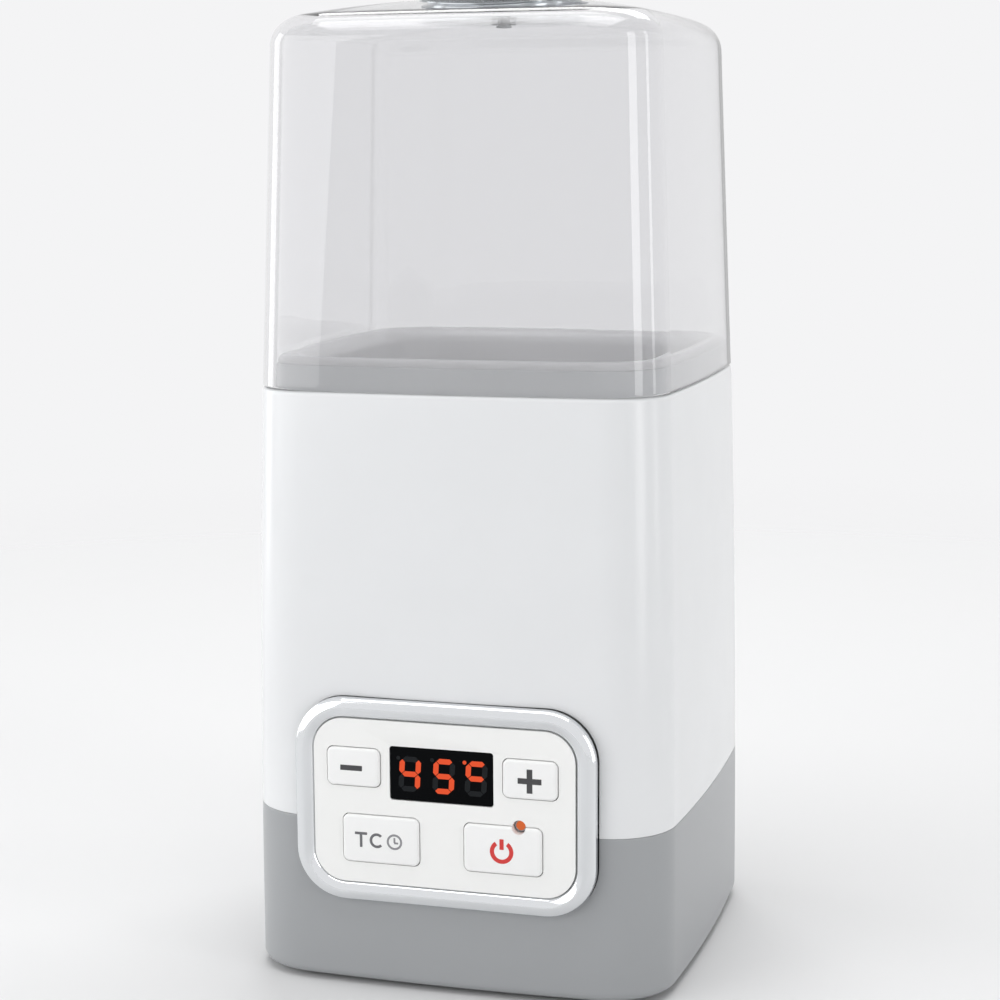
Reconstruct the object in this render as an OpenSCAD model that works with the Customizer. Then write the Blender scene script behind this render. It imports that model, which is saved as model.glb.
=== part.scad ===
// Tall square yogurt maker. A heated well stands in a bowed, tapering body of two mouldings,
// under a clear lift-off cover with a round knob. The keys and display sit in a bright-rimmed
// panel across the seam of the two mouldings.
// Millimetres. +Z is up, the panel faces -Y, and the origin is on the floor under the middle.

/* [Body] */
// Width across the faces at the shoulder, where the cover stands
shoulder_w = 120; // [110:1:130]
// Width across the faces at the foot of the body
floor_w = 124.6; // [120:0.2:130]
// Extra swell of the side walls halfway up
belly = 0.6; // [0:0.1:1.5]
// How far each face bows out between its corners
face_bow = 2.6; // [1:0.1:4]
// Radius of the upright corners
corner_r = 18; // [12:0.5:24]
// Height of the shoulder above the floor
shoulder_h = 167.7; // [155:0.1:180]
// Height of the seam between the base and the housing
seam_h = 48; // [44:0.5:52]
// Wall thickness of the housing and the base
wall = 2.4; // [1.8:0.1:3]
// Rounding of the lower edge of the base
floor_round = 2.4; // [1:0.1:4]
// Rounding of the outer edge of the shoulder
shoulder_round = 1.2; // [0.5:0.1:2]
// Thickness of the deck inside the shoulder
deck_t = 2.5; // [2:0.1:4]
// Height of the tongue that centres the housing on the base
tongue_h = 3; // [2:0.5:5]
// Thickness of the tongue
tongue_t = 1.6; // [1.2:0.1:2.4]
// Width of the flat rim under the base, round the bottom plate
base_rim_w = 1.6; // [1:0.1:2.5]

/* [Cover] */
// Height of the cover from its rim to the top of its crown
cover_h = 107.7; // [95:0.1:120]
// How far each wall of the cover leans in over its height
cover_draft = 3.3; // [1:0.1:6]
// Wall thickness of the cover
cover_wall = 2.2; // [1.6:0.1:2.6]
// Rounding between the walls and the top
cover_round = 9; // [5:0.5:12]
// Rise of the crowned top
crown = 5.2; // [2:0.1:8]
// Rounding of the rim
rim_round = 0.7; // [0.3:0.1:1]
// How far the cover's rim stands in from the body's face
cover_inset = 0.1; // [0:0.1:1]

/* [Knob] */
// Diameter of the knob
knob_d = 49; // [40:1:56]
// Height of the knob above the crown
knob_h = 10; // [8:0.5:16]
// Depth of the finger groove round the knob
knob_groove = 2.2; // [1:0.1:3]
// Rounding of the knob's edges
knob_round = 1.6; // [0.8:0.1:2.2]
// Depth of the dish in the knob's top
knob_dish = 0.9; // [0.4:0.1:1.5]
// Diameter of the knob's screw
knob_screw_d = 2.2; // [2:0.1:4]
// Length of the knob's screw in the knob
knob_screw_l = 6; // [4:0.5:7]
// Diameter of the boss under the cover's ceiling, round the knob's screw
knob_boss_d = 7; // [6:0.5:10]
// Height of that boss
knob_boss_h = 1.4; // [1:0.1:4]
// Share of the knob's width that rests on the flat seat in the crown
knob_seat_share = 0.42; // [0.3:0.02:0.6]

/* [Well] */
// How far the well's mouth lies in from the body's face at the shoulder
well_inset = 10; // [9:0.5:13]
// How far each wall of the well leans in over its depth
well_draft = 3.5; // [2.5:0.5:6]
// Depth of the well from the top of its lip
well_depth = 122.9; // [110:0.1:124]
// Wall thickness of the liner
liner_wall = 1.8; // [1.4:0.1:2.4]
// Rounding between the liner's wall and floor
well_round = 6; // [4:0.5:9]
// Thickness of the lip that rests on the collar
lip_t = 2.2; // [2:0.1:4]
// Rounding of the lip's outer edge
lip_outer_round = 1.8; // [1:0.1:2]
// Gap between the liner and the collar round it
liner_clear = 0.6; // [0.3:0.1:1]
// Height of the foil's lower edge above the floor
foil_low = 80; // [78:0.5:86]
// Height of the heating foil
foil_h = 50; // [40:1:70]
// Thickness of the heating foil
foil_t = 0.5; // [0.3:0.1:1]
// Gap between the foil and the liner
foil_gap = 0.05; // [0.02:0.01:0.2]
// Diameter of the temperature sensor's cup
sensor_d = 8; // [5:0.5:10]
// Height of the temperature sensor
sensor_h = 7; // [5:0.5:10]
// Thickness of the sensor's flange
sensor_flange_t = 1.2; // [0.8:0.1:2]
// Diameter of the thermal fuse
fuse_d = 4; // [3:0.5:5]
// Length of the thermal fuse
fuse_l = 26; // [18:1:32]
// Distance of the fuse from the middle, front to back
fuse_y = 20; // [14:1:26]
// Wall thickness of the fuse's clip
fuse_clip_t = 0.8; // [0.5:0.1:1.2]

/* [Collar] */
// Height of the collar above the shoulder
collar_h = 7; // [6:0.1:12]
// Wall thickness of the collar where it passes through the deck
collar_wall = 2.1; // [1.6:0.1:2.4]
// How far the collar reaches down through the deck
collar_drop = 7.5; // [5:0.5:12]
// Chamfer round the collar's upper edge
collar_edge = 0.6; // [0.3:0.1:1]

/* [Panel] */
// Width over the bright rim
panel_w = 86.6; // [82:0.2:90]
// Height over the bright rim
panel_h = 58; // [54:0.2:62]
// Height of the panel's middle above the floor
panel_z = 54.5; // [52:0.5:58]
// Corner radius of the rim, outside
panel_r = 14.5; // [12:0.5:18]
// Width of the bright rim
rim_w = 5.7; // [4:0.1:6.5]
// How far the rim stands out from the middle of the front face
panel_proud = 3; // [2:0.1:4]
// Rounding of the rim's front edges
rim_edge = 1.7; // [1:0.1:1.9]
// How far the fascia lies behind the crest of the rim
fascia_sink = 0.8; // [0.4:0.1:1.4]
// Thickness of the fascia
fascia_t = 2.5; // [2:0.1:3]
// Width of the shoulders that hold the rim and fascia from behind
hold_w = 2.2; // [1.5:0.1:2.5]
// Thickness of those shoulders
hold_t = 1.5; // [1:0.1:1.8]

/* [Keys] */
// Width of the minus and plus keys
small_key_w = 15.4; // [13:0.2:17]
// Height of the minus and plus keys
small_key_h = 10.8; // [9:0.2:12]
// Width of the mode and power keys
large_key_w = 22.2; // [20:0.2:24]
// Height of the mode and power keys
large_key_h = 13.5; // [12:0.2:14.5]
// Corner radius of the keys
key_r = 1.8; // [1.2:0.1:3.5]
// Gap round each key
key_gap = 0.25; // [0.2:0.05:0.35]
// How far the keys stand out from the fascia
key_proud = 0.8; // [0.2:0.1:0.8]
// Travel of the keys
key_travel = 0.6; // [0.4:0.1:0.8]
// Width of the rim that keeps each key behind the fascia
key_flange = 0.9; // [0.6:0.1:1]
// Diameter of the stem behind each key
stem_d = 5; // [3:0.5:6]
// Sideways place of the minus key
minus_x = -25.8; // [-27:0.1:-25]
// Sideways place of the plus key
plus_x = 25; // [24:0.1:27]
// Height of the minus and plus keys above the panel's middle
small_key_z = 9.7; // [8.5:0.1:11]
// Sideways place of the mode key
mode_x = -18; // [-20:0.1:-16]
// Sideways place of the power key
power_x = 17.2; // [16:0.1:20]
// Depth of the mode and power keys below the panel's middle
large_key_z = 10.6; // [9.5:0.1:12]

/* [Display] */
// Width of the display window
window_w = 29.6; // [27:0.2:31]
// Height of the display window
window_h = 15; // [13:0.2:16]
// Sideways place of the display
window_x = -0.4; // [-1:0.1:1]
// Height of the display above the panel's middle
window_z = 8.7; // [8:0.1:10]
// Thickness of the window
window_t = 1.5; // [1:0.1:2]
// Corner radius of the window's opening
window_r = 0.9; // [0.5:0.1:2]
// How far the window lies behind the fascia's face
window_sink = 0.2; // [0.1:0.1:0.4]
// Width of the ledge that the window is bonded to
ledge_w = 1; // [0.6:0.1:1.5]
// Diameter of the pilot light's lens
lens_d = 2.6; // [2:0.1:3]
// Diameter of the ring round the lens
lens_ring_d = 3.5; // [3:0.1:4]
// How far the lens stands out from the fascia
lens_proud = 0.3; // [0.1:0.1:0.6]
// Sideways place of the pilot light, on the power key's upper edge
lens_x = 21.8; // [19:0.1:23]

/* [Circuit boards] */
// Thickness of the circuit boards
board_t = 1.6; // [1:0.1:2]
// Distance of the boards' fixings from the board's edges
post_inset = 2.8; // [2.6:0.1:3]
// Diameter of the fascia's posts
post_d = 4.8; // [4:0.2:5]
// Length of the control board's screws
board_screw_l = 5; // [4:0.5:6]
// Width of the key switches
switch_w = 6; // [5:0.5:7]
// Width of the controller chip
chip_w = 12; // [8:1:16]
// Height of the controller chip above the board's back
chip_t = 1.4; // [1:0.1:2]
// Depth of the control board behind the fascia's face
board_depth = 9.3; // [8.5:0.1:10]
// Width of the control board
board_w = 72; // [72:0.5:73]
// Height of the control board
board_h = 46; // [45.5:0.5:46.5]
// Height of the key switches above the board
switch_h = 5; // [4.3:0.1:5.5]
// Width of the power board
power_board_w = 72; // [60:1:76]
// Length of the power board, front to back
power_board_l = 60; // [50:1:66]
// Height of the pillars under the power board
pillar_h = 7; // [5:0.5:10]
// Diameter of the pillars
pillar_d = 6; // [5:0.5:8]
// Diameter of the pins on the pillars
pillar_pin_d = 2.6; // [2:0.1:3.2]
// Distance of the pillars from the power board's edges
pillar_inset = 4; // [3.5:0.5:6]
// Length of the transformer's core
transformer_w = 28; // [22:1:30]
// Height of the transformer
transformer_h = 20; // [16:1:22]
// Length of the relay
relay_w = 19; // [15:0.5:22]
// Height of the relay
relay_h = 15; // [12:0.5:18]
// Diameter of the capacitors
capacitor_d = 10; // [6:0.5:12]
// Height of the capacitors
capacitor_h = 16; // [11:0.5:20]
// Height of the wire terminal
terminal_h = 10; // [8:0.5:12]

/* [Bottom] */
// Height of the feet below the base
foot_h = 1.5; // [1:0.1:3]
// Diameter of the feet
foot_d = 13; // [10:0.5:16]
// Distance of the feet's middles from the base's faces
foot_inset = 22.3; // [20:0.1:28]
// Thickness of the bottom plate
plate_t = 2.5; // [2:0.1:3.5]
// How far the bottom plate lies above the base's lower edge
plate_lift = 0.6; // [0.3:0.1:1]
// Depth of the feet's recesses in the bottom plate
foot_sink = 0.8; // [0.5:0.1:1.2]
// Rounding of the feet's treads
foot_round = 1; // [0.5:0.1:1.3]
// Distance of the case screws' middles from the base's faces
boss_inset = 14.3; // [13.8:0.1:17]
// Diameter of the case screws
screw_d = 3; // [2.5:0.1:3.5]
// Length of the case screws under their heads
screw_l = 12; // [10:0.5:16]
// Diameter of the screw bosses in the base
boss_d = 8; // [7:0.5:8.5]
// Height of the screw bosses
boss_h = 20; // [15:1:24]
// Thickness of the ribs that tie the bosses to the wall
rib_t = 1.8; // [1.2:0.1:2.4]
// Width of the vent slots
vent_w = 2.4; // [1.5:0.1:3]
// Length of the vent slots
vent_l = 24; // [16:1:30]

/* [Cord inlet] */
// Bore of the cord inlet
cord_bore_d = 7; // [6:0.5:9]
// Diameter of the inlet's outer flange
inlet_d = 17; // [14:0.5:20]
// Height of the inlet's axis above the floor
inlet_z = 18; // [16:0.5:24]
// Diameter of the inlet's neck through the wall
inlet_neck_d = 12; // [11:0.5:13]
// Length of the inlet inside its flange
inlet_l = 10; // [8:0.5:14]
// How far the flange stands out from the wall
inlet_proud = 1.5; // [1:0.1:2]
// Depth of the flange's seat in the wall
inlet_sink = 0.5; // [0.3:0.1:0.8]

/* [Fits] */
// Gap between the cover and the collar inside it
cover_slip = 0.45; // [0.35:0.05:0.8]
// Gap between parts that are seated in each other
seat = 0.15; // [0.1:0.05:0.3]

/* [Hidden] */

// Facets: round parts, corner arcs and bowed faces of the lofted shells
$fn = 48;
corner_steps = 8;
side_steps = 4;
edge_steps = 4;

base_z = foot_h;
belly_factor = 4;
bow_share = face_bow / (shoulder_w / 2);
corner_share = corner_r / (shoulder_w / 2);

// Half width of the body at height z
function body_half(z) =
    let (t = (z - base_z) / (shoulder_h - base_z))
    floor_w / 2 + (shoulder_w - floor_w) / 2 * t + belly * belly_factor * t * (1 - t);

// One quarter of a square whose sides bow out in arcs and whose corners are tangent arcs.
// rho is the radius of the bowed side, k its centre, c the corner arc's centre,
// and a the angle at which the two arcs meet.
function quarter_section(half, r, bow) =
    let (
        rho = (half * half + bow * bow) / (2 * bow),
        k = half - rho,
        c = (2 * k + sqrt(4 * k * k - 8 * (k * k - (rho - r) * (rho - r)))) / 4,
        a = atan2(c, c - k)
    )
    concat(
        [for (i = [0 : side_steps - 1])
            let (t = -a + 2 * a * i / side_steps) [k + rho * cos(t), rho * sin(t)]],
        [for (i = [0 : corner_steps - 1])
            let (t = a + (90 - 2 * a) * i / corner_steps) [c + r * cos(t), c + r * sin(t)]]
    );

// Closed outline of the bowed square, counter-clockwise
function section(half) =
    let (quarter = quarter_section(half, half * corner_share, half * bow_share))
    [for (q = [0 : 3]) for (p = quarter)
        [p[0] * cos(90 * q) - p[1] * sin(90 * q), p[0] * sin(90 * q) + p[1] * cos(90 * q)]];

// Quarter-round edge as [height, half width] levels, from a wall at half width w up to height top
function round_out(w, top, r) =
    [for (i = [0 : edge_steps])
        let (t = 90 * i / edge_steps) [top - r + r * sin(t), w - r + r * cos(t)]];

// Skin through bowed squares at [height, half width] levels. The levels run up the outside;
// where they turn back down the inside the skin is a pot, and closed = true makes it a ring.
module loft(levels, closed = false) {
    n = 4 * (side_steps + corner_steps);
    count = len(levels);
    spans = closed ? count : count - 1;
    points = [for (l = levels) for (p = section(l[1])) [p[0], p[1], l[0]]];
    sides = [for (k = [0 : spans - 1]) for (i = [0 : n - 1])
        let (low = k * n, high = ((k + 1) % count) * n, j = (i + 1) % n)
        each [[low + i, high + i, high + j], [low + i, high + j, low + j]]];
    caps = closed ? [] : [
        [for (i = [0 : n - 1]) i],
        [for (i = [0 : n - 1]) count * n - 1 - i]];
    polyhedron(points = points, faces = concat(sides, caps));
}

// Rectangle with round corners
module rounded_rect(w, h, r) {
    square([w - 2 * r, h], center = true);
    square([w, h - 2 * r], center = true);
    for (x = [-1, 1], y = [-1, 1])
        translate([x * (w / 2 - r), y * (h / 2 - r)]) circle(r);
}

// Upright slab in the XZ plane from depth y0 (front) to y1 (back), drawn by its 2D children
module upright(y0, y1) {
    translate([0, y1, 0]) rotate([90, 0, 0]) linear_extrude(y1 - y0) children();
}

// Carries a 2D profile round a rounded rectangle. The profile's x runs outwards from the path.
module framed(w, h, r) {
    for (turn = [0 : 3]) {
        across = turn % 2 == 0 ? w : h;
        along = turn % 2 == 0 ? h : w;
        rotate([0, 0, 90 * turn]) {
            translate([across / 2, along / 2 - r, 0])
                rotate([90, 0, 0]) linear_extrude(along - 2 * r) children();
            translate([across / 2 - r, along / 2 - r, 0])
                rotate_extrude(angle = 90) translate([r, 0]) children();
        }
    }
}

// Screw with a pan head on top and a cross recess; its head's underside is at z = 0
module pan_screw(shank_d, length) {
    head_r = shank_d;
    head_t = shank_d * 0.6;
    recess_w = shank_d * 0.28;
    recess_t = head_t * 0.6;
    difference() {
        union() {
            cylinder(r = head_r, h = head_t);
            translate([0, 0, -length]) cylinder(d = shank_d, h = length + head_t / 2);
        }
        for (turn = [0, 90])
            rotate([0, 0, turn])
                translate([-head_r * 0.65, -recess_w / 2, head_t - recess_t])
                    cube([head_r * 1.3, recess_w, head_t]);
    }
}

// Places its children at the four corners of a square in the XY plane
module four(spacing) {
    for (x = [-1, 1], y = [-1, 1])
        translate([x * spacing / 2, y * spacing / 2, 0]) children();
}

// ---- Depths of the panel's layers, from the crest of its rim to the back of its board ----
face_rho = (pow(shoulder_w / 2, 2) + face_bow * face_bow) / (2 * face_bow);
hold_half = panel_w / 2 + hold_w;
crest_y = -body_half(panel_z) - panel_proud;
fascia_y = crest_y + fascia_sink;
fascia_back = fascia_y + fascia_t;
board_y = fascia_y + board_depth;
// The rim's shoulders clear the inside of the bowed wall at the panel's upper corners
rim_hold_y = -body_half(panel_z + panel_h / 2 + hold_w) + wall + seat
    + 1.1 * (face_rho - sqrt(face_rho * face_rho - hold_half * hold_half));
rim_back = rim_hold_y + hold_t;
fascia_w = panel_w - 2 * rim_w;
fascia_h = panel_h - 2 * rim_w;
fascia_r = panel_r - rim_w;
switch_top = board_y - switch_h;
window_back = fascia_y + window_sink + window_t;

// Keys as [sideways place, height from the panel's middle, width, height]
KEYS = [
    [minus_x, small_key_z, small_key_w, small_key_h],
    [plus_x, small_key_z, small_key_w, small_key_h],
    [mode_x, -large_key_z, large_key_w, large_key_h],
    [power_x, -large_key_z, large_key_w, large_key_h]];
WINDOW = [window_x, window_z];
LENS = [lens_x, large_key_h / 2 - large_key_z];

// ---- Well, collar and base sizes that follow from the above ----
well_w = shoulder_w - 2 * well_inset;
well_floor_w = well_w - 2 * well_draft;
boss_spacing = floor_w - 2 * boss_inset;
foot_spacing = floor_w - 2 * foot_inset;
lip_top = shoulder_h + collar_h + lip_t;
floor_z = lip_top - well_depth;
collar_in = well_w / 2 + liner_wall + liner_clear;
deck_half = collar_in + collar_wall + seat;
plate_top = base_z + plate_lift + plate_t;
mouth_half = body_half(base_z) - floor_round - base_rim_w;
foot_inner = body_half(base_z) - wall;
inlet_seat_y = body_half(inlet_z) - inlet_sink;

// Half width of the well at height z
function well_half(z) = (well_floor_w + (well_w - well_floor_w) * (z - floor_z) / well_depth) / 2;

// Half width of the collar at height z, clear of the drafted cover
function collar_half(z) = cover_half(z) - cover_wall - cover_slip;

// ---- Cover ----
cover_foot = shoulder_w / 2 - cover_inset;
cover_top = cover_foot - cover_draft;
cover_shoulder = shoulder_h + cover_h - crown - cover_round;
apex = shoulder_h + cover_h;
crown_slope = atan(2 * crown / (cover_top - cover_round));
seat_half = knob_d * knob_seat_share / 2;
crown_steps = 4;

// Half width of the cover's drafted wall at height z
function cover_half(z) =
    cover_foot - cover_draft * (z - shoulder_h) / (cover_shoulder - shoulder_h);

// The lip inside the cover, whose rounding into the well takes all that the outer one leaves
lip_half = collar_half(lip_top) - collar_edge / 2;
lip_inner_round = lip_half - lip_outer_round - well_w / 2;

// Rounded edge between the drafted wall and the crowned top, inset by a wall thickness
function cover_edge(inset) =
    let (half = cover_top - inset, r = cover_round - inset)
    [for (i = [0 : edge_steps])
        let (t = (90 - crown_slope) * i / edge_steps)
        [cover_shoulder + r * sin(t), half - r + r * cos(t)]];

// Height of the crowned top at half width h
function crown_z(inset, h) =
    let (rim = cover_edge(inset)[edge_steps], top = apex - inset)
    top - (top - rim[0]) * h * h / (rim[1] * rim[1]);

// Rounded edge, then the crown in to the flat seat of the knob
function cover_skin(inset) =
    let (edge = cover_edge(inset), rim = edge[edge_steps][1])
    concat(edge,
        [for (i = [1 : crown_steps])
            let (h = rim + (seat_half - rim) * i / crown_steps) [crown_z(inset, h), h]]);

function reversed(list) = [for (i = [len(list) - 1 : -1 : 0]) list[i]];

knob_foot = crown_z(0, seat_half);
ceiling_z = crown_z(cover_wall, seat_half);
knob_head_z = ceiling_z - knob_boss_h;

module clear_cover() {
    inner = cover_foot - cover_wall;
    color([0.93, 0.95, 0.96, 0.35])
        difference() {
            union() {
                loft(concat(
                    reversed(cover_skin(cover_wall)),
                    [[shoulder_h + rim_round, inner],
                     [shoulder_h, inner + rim_round],
                     [shoulder_h, cover_foot - rim_round],
                     [shoulder_h + rim_round, cover_foot]],
                    cover_skin(0)));
                translate([0, 0, knob_head_z]) cylinder(d = knob_boss_d, h = knob_boss_h + cover_wall / 2);
            }
            translate([0, 0, knob_head_z - 1])
                cylinder(d = knob_screw_d + 2 * seat, h = 2 + knob_foot - knob_head_z);
        }
}

// The knob is turned from one profile: rounded edges, a finger groove and a dished top
module knob_profile() {
    r = knob_d / 2;
    groove_r = knob_h / 2 - knob_round;
    dish_half = r - 2 * knob_round;
    dish_r = (dish_half * dish_half + knob_dish * knob_dish) / (2 * knob_dish);
    difference() {
        union() {
            square([r - knob_round, knob_h]);
            translate([0, knob_round]) square([r, knob_h - 2 * knob_round]);
            for (y = [knob_round, knob_h - knob_round])
                translate([r - knob_round, y]) circle(knob_round);
        }
        translate([r + groove_r - knob_groove, knob_h / 2]) circle(groove_r);
        translate([0, knob_h + dish_r - knob_dish]) circle(dish_r, $fn = 360);
    }
}

module cover_knob() {
    color([0.36, 0.39, 0.40])
        translate([0, 0, knob_foot])
            difference() {
                rotate_extrude() knob_profile();
                translate([0, 0, -1]) cylinder(d = knob_screw_d, h = 1 + knob_screw_l);
            }
}

module knob_screw() {
    color([0.75, 0.76, 0.78])
        translate([0, 0, knob_head_z])
            rotate([180, 0, 0]) pan_screw(knob_screw_d, knob_screw_l + knob_foot - knob_head_z);
}

// ---- Body mouldings ----
module housing() {
    top_wall = body_half(shoulder_h) - wall;
    heights = [for (i = [0 : 3]) seam_h + (shoulder_h - deck_t - seam_h) * i / 3];
    color([0.90, 0.90, 0.91])
        difference() {
            loft(closed = true, concat(
                [for (z = heights) if (z < shoulder_h - deck_t) [z, body_half(z)]],
                round_out(body_half(shoulder_h), shoulder_h, shoulder_round),
                [[shoulder_h, deck_half],
                 [shoulder_h - deck_t, deck_half]],
                [for (z = reversed(heights)) [z, body_half(z) - wall]]));
            panel_cut();
        }
}

module base_shell() {
    foot = body_half(base_z);
    rim_top = plate_top + plate_lift;
    tongue_out = body_half(seam_h) - wall - seat;
    tongue_low = seam_h - 2 * tongue_h;
    color([0.63, 0.64, 0.65])
        difference() {
            union() {
                loft(closed = true, concat(
                    [for (i = [0 : edge_steps])
                        let (t = 90 * i / edge_steps)
                        [base_z + floor_round * (1 - cos(t)), foot - floor_round * (1 - sin(t))]],
                    [[(base_z + seam_h) / 2, body_half((base_z + seam_h) / 2)],
                     [seam_h, body_half(seam_h)],
                     [seam_h, tongue_out],
                     [seam_h + tongue_h, tongue_out],
                     [seam_h + tongue_h, tongue_out - tongue_t],
                     [tongue_low, tongue_out - tongue_t],
                     [tongue_low - tongue_t, body_half(tongue_low) - wall],
                     [rim_top + tongue_t, foot - wall],
                     [rim_top, mouth_half],
                     [base_z, mouth_half]]));
                screw_bosses();
            }
            panel_cut();
            four(boss_spacing)
                translate([0, 0, base_z]) cylinder(d = screw_d, h = plate_top + screw_l);
            translate([0, 0, inlet_z]) rotate([-90, 0, 0]) {
                cylinder(d = inlet_neck_d + 2 * seat, h = floor_w);
                translate([0, 0, inlet_seat_y]) cylinder(d = inlet_d + 2 * seat, h = floor_w);
            }
        }
}

// Screw bosses in the base's corners, each tied to the wall by a rib
module screw_bosses() {
    reach = max([for (p = section(foot_inner)) norm(p)]) + wall / 2;
    from = boss_spacing / 2 * sqrt(2);
    four(boss_spacing)
        translate([0, 0, plate_top]) cylinder(d = boss_d, h = boss_h);
    for (turn = [45 : 90 : 315])
        rotate([0, 0, turn])
            translate([from, -rib_t / 2, plate_top]) cube([reach - from, rib_t, boss_h]);
}

// Room for the panel in the front wall, and behind it for the rim's shoulders
module panel_cut() {
    upright(-floor_w, -floor_w / 4)
        translate([0, panel_z])
            rounded_rect(panel_w + 2 * seat, panel_h + 2 * seat, panel_r + seat);
    upright(rim_hold_y - seat, -floor_w / 4)
        translate([0, panel_z])
            rounded_rect(panel_w + 2 * hold_w + 2 * seat, panel_h + 2 * hold_w + 2 * seat,
                panel_r + hold_w + seat);
}

module collar() {
    top = shoulder_h + collar_h;
    color([0.70, 0.71, 0.72])
        loft(closed = true, [
            [shoulder_h, collar_half(shoulder_h)],
            [top - collar_edge, collar_half(top)],
            [top, collar_half(top) - collar_edge],
            [top, well_w / 2 + lip_inner_round + liner_clear],
            [lip_top - lip_inner_round - liner_clear, collar_in],
            [shoulder_h - collar_drop, collar_in],
            [shoulder_h - collar_drop, collar_in + collar_wall],
            [shoulder_h, collar_in + collar_wall]]);
}

// ---- Well ----
module well_liner() {
    lip_low = lip_top - lip_t;
    bend = well_round + liner_wall;
    low = floor_z - liner_wall;
    color([0.78, 0.79, 0.80])
        loft(concat(
            [for (i = [0 : edge_steps])
                let (t = 90 * i / edge_steps)
                [low + bend * (1 - cos(t)), well_half(low + bend) + liner_wall - bend * (1 - sin(t))]],
            [[lip_top - lip_inner_round, well_half(lip_top - lip_inner_round) + liner_wall],
             [lip_low, well_half(lip_top) + lip_inner_round], [lip_low, lip_half]],
            round_out(lip_half, lip_top, lip_outer_round),
            [for (i = [1 : edge_steps])
                let (t = 90 * i / edge_steps)
                [lip_top - lip_inner_round * (1 - cos(t)),
                 well_half(lip_top) + lip_inner_round * (1 - sin(t))]],
            [for (i = [0 : edge_steps])
                let (t = 90 * i / edge_steps)
                [floor_z + well_round * (1 - sin(t)),
                 well_half(floor_z + well_round) - well_round * (1 - cos(t))]]));
}

// Self-adhesive heating foil wrapped round the lower part of the liner
module heating_foil() {
    function skin(z) = well_half(z) + liner_wall + foil_gap;
    color([0.80, 0.80, 0.78])
        loft(closed = true, [
            [foil_low, skin(foil_low) + foil_t],
            [foil_low + foil_h, skin(foil_low + foil_h) + foil_t],
            [foil_low + foil_h, skin(foil_low + foil_h)],
            [foil_low, skin(foil_low)]]);
}

// Bead thermistor in a flanged cup, pressed up against the underside of the well's floor
module temperature_sensor() {
    color([0.35, 0.36, 0.38])
        translate([0, 0, floor_z - liner_wall - sensor_h])
            rotate_extrude() {
                square([sensor_d / 2, sensor_h]);
                translate([0, sensor_h - sensor_flange_t]) square([sensor_d, sensor_flange_t]);
            }
}

// One-shot thermal fuse in its sleeve, held in a clip under the well's floor
module thermal_fuse() {
    clip_w = fuse_d + 2 * fuse_clip_t;
    top = floor_z - liner_wall;
    color([0.82, 0.80, 0.74]) {
        translate([-fuse_l / 2, fuse_y, top - fuse_clip_t - fuse_d / 2])
            rotate([0, 90, 0]) cylinder(d = fuse_d, h = fuse_l);
        difference() {
            translate([-fuse_l / 4, fuse_y - clip_w / 2, top - clip_w])
                cube([fuse_l / 2, clip_w, clip_w]);
            translate([-fuse_l / 4, fuse_y - fuse_d / 2, top - clip_w])
                cube([fuse_l / 2, fuse_d, fuse_clip_t + fuse_d / 2]);
        }
    }
}

// ---- Panel ----
// Section of the bright rim. x runs outwards from the fascia's edge, y forwards from its back.
module rim_profile() {
    depth = rim_back - crest_y;
    front = depth - rim_edge;
    ledge = rim_back - fascia_back;
    wide = rim_w - seat;
    translate([seat, ledge]) square([wide, front - ledge]);
    translate([seat + rim_edge, ledge]) square([wide - 2 * rim_edge, depth - ledge]);
    for (x = [seat + rim_edge, rim_w - rim_edge])
        translate([x, front])
            intersection() {
                circle(rim_edge);
                translate([-rim_edge, 0]) square([2 * rim_edge, rim_edge]);
            }
    translate([hold_w + seat, 0]) square([rim_w - hold_w - seat, front]);
    translate([hold_w + seat, 0]) square([rim_w - seat, hold_t]);
}

module panel_rim() {
    color([0.86, 0.87, 0.88])
        translate([0, rim_back, panel_z]) rotate([90, 0, 0])
            framed(fascia_w, fascia_h, fascia_r) rim_profile();
}

// Places its children at a key, in the plane of the panel
module at_key(key) {
    translate([key[0], panel_z + key[1]]) children();
}

module fascia() {
    color([0.95, 0.95, 0.94])
        difference() {
            union() {
                upright(fascia_y, fascia_back)
                    translate([0, panel_z]) rounded_rect(fascia_w, fascia_h, fascia_r);
                translate([0, fascia_back + hold_t, panel_z]) rotate([90, 0, 0])
                    framed(fascia_w, fascia_h, fascia_r) {
                        translate([-hold_t, 0]) square([hold_t, hold_t + seat]);
                        square([hold_w, hold_t]);
                    }
                board_posts(post_d, fascia_back, board_y);
            }
            for (key = KEYS)
                upright(fascia_y - 1, fascia_back + hold_t + 1)
                    at_key(key) rounded_rect(key[2] + 2 * key_gap, key[3] + 2 * key_gap, key_r + key_gap);
            upright(fascia_y - 1, window_back)
                at_key(WINDOW) rounded_rect(window_w + 2 * seat, window_h + 2 * seat, window_r);
            upright(fascia_y, fascia_back + 1)
                at_key(WINDOW) square([window_w - 2 * ledge_w, window_h - 2 * ledge_w], center = true);
            upright(fascia_y - 1, fascia_back + 1)
                at_key(LENS) circle(d = lens_ring_d + 2 * seat);
            board_posts(screw_d * 0.55, board_y - board_screw_l, board_y + 1);
        }
}

// Round posts, or their pilot holes, at the corners of the control board
module board_posts(d, y0, y1) {
    upright(y0, y1)
        for (x = [-1, 1], z = [-1, 1])
            translate([x * (board_w / 2 - post_inset), panel_z + z * (board_h / 2 - post_inset)])
                circle(d = d);
}

module display_window() {
    color([0.03, 0.03, 0.04])
        upright(fascia_y + window_sink, window_back)
            at_key(WINDOW) rounded_rect(window_w, window_h, window_r - seat);
}

module led_display() {
    color([0.12, 0.12, 0.13])
        upright(window_back, board_y)
            at_key(WINDOW) square([window_w - 2 * ledge_w - 2 * seat, window_h - 2 * ledge_w - 2 * seat],
                center = true);
}

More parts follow.
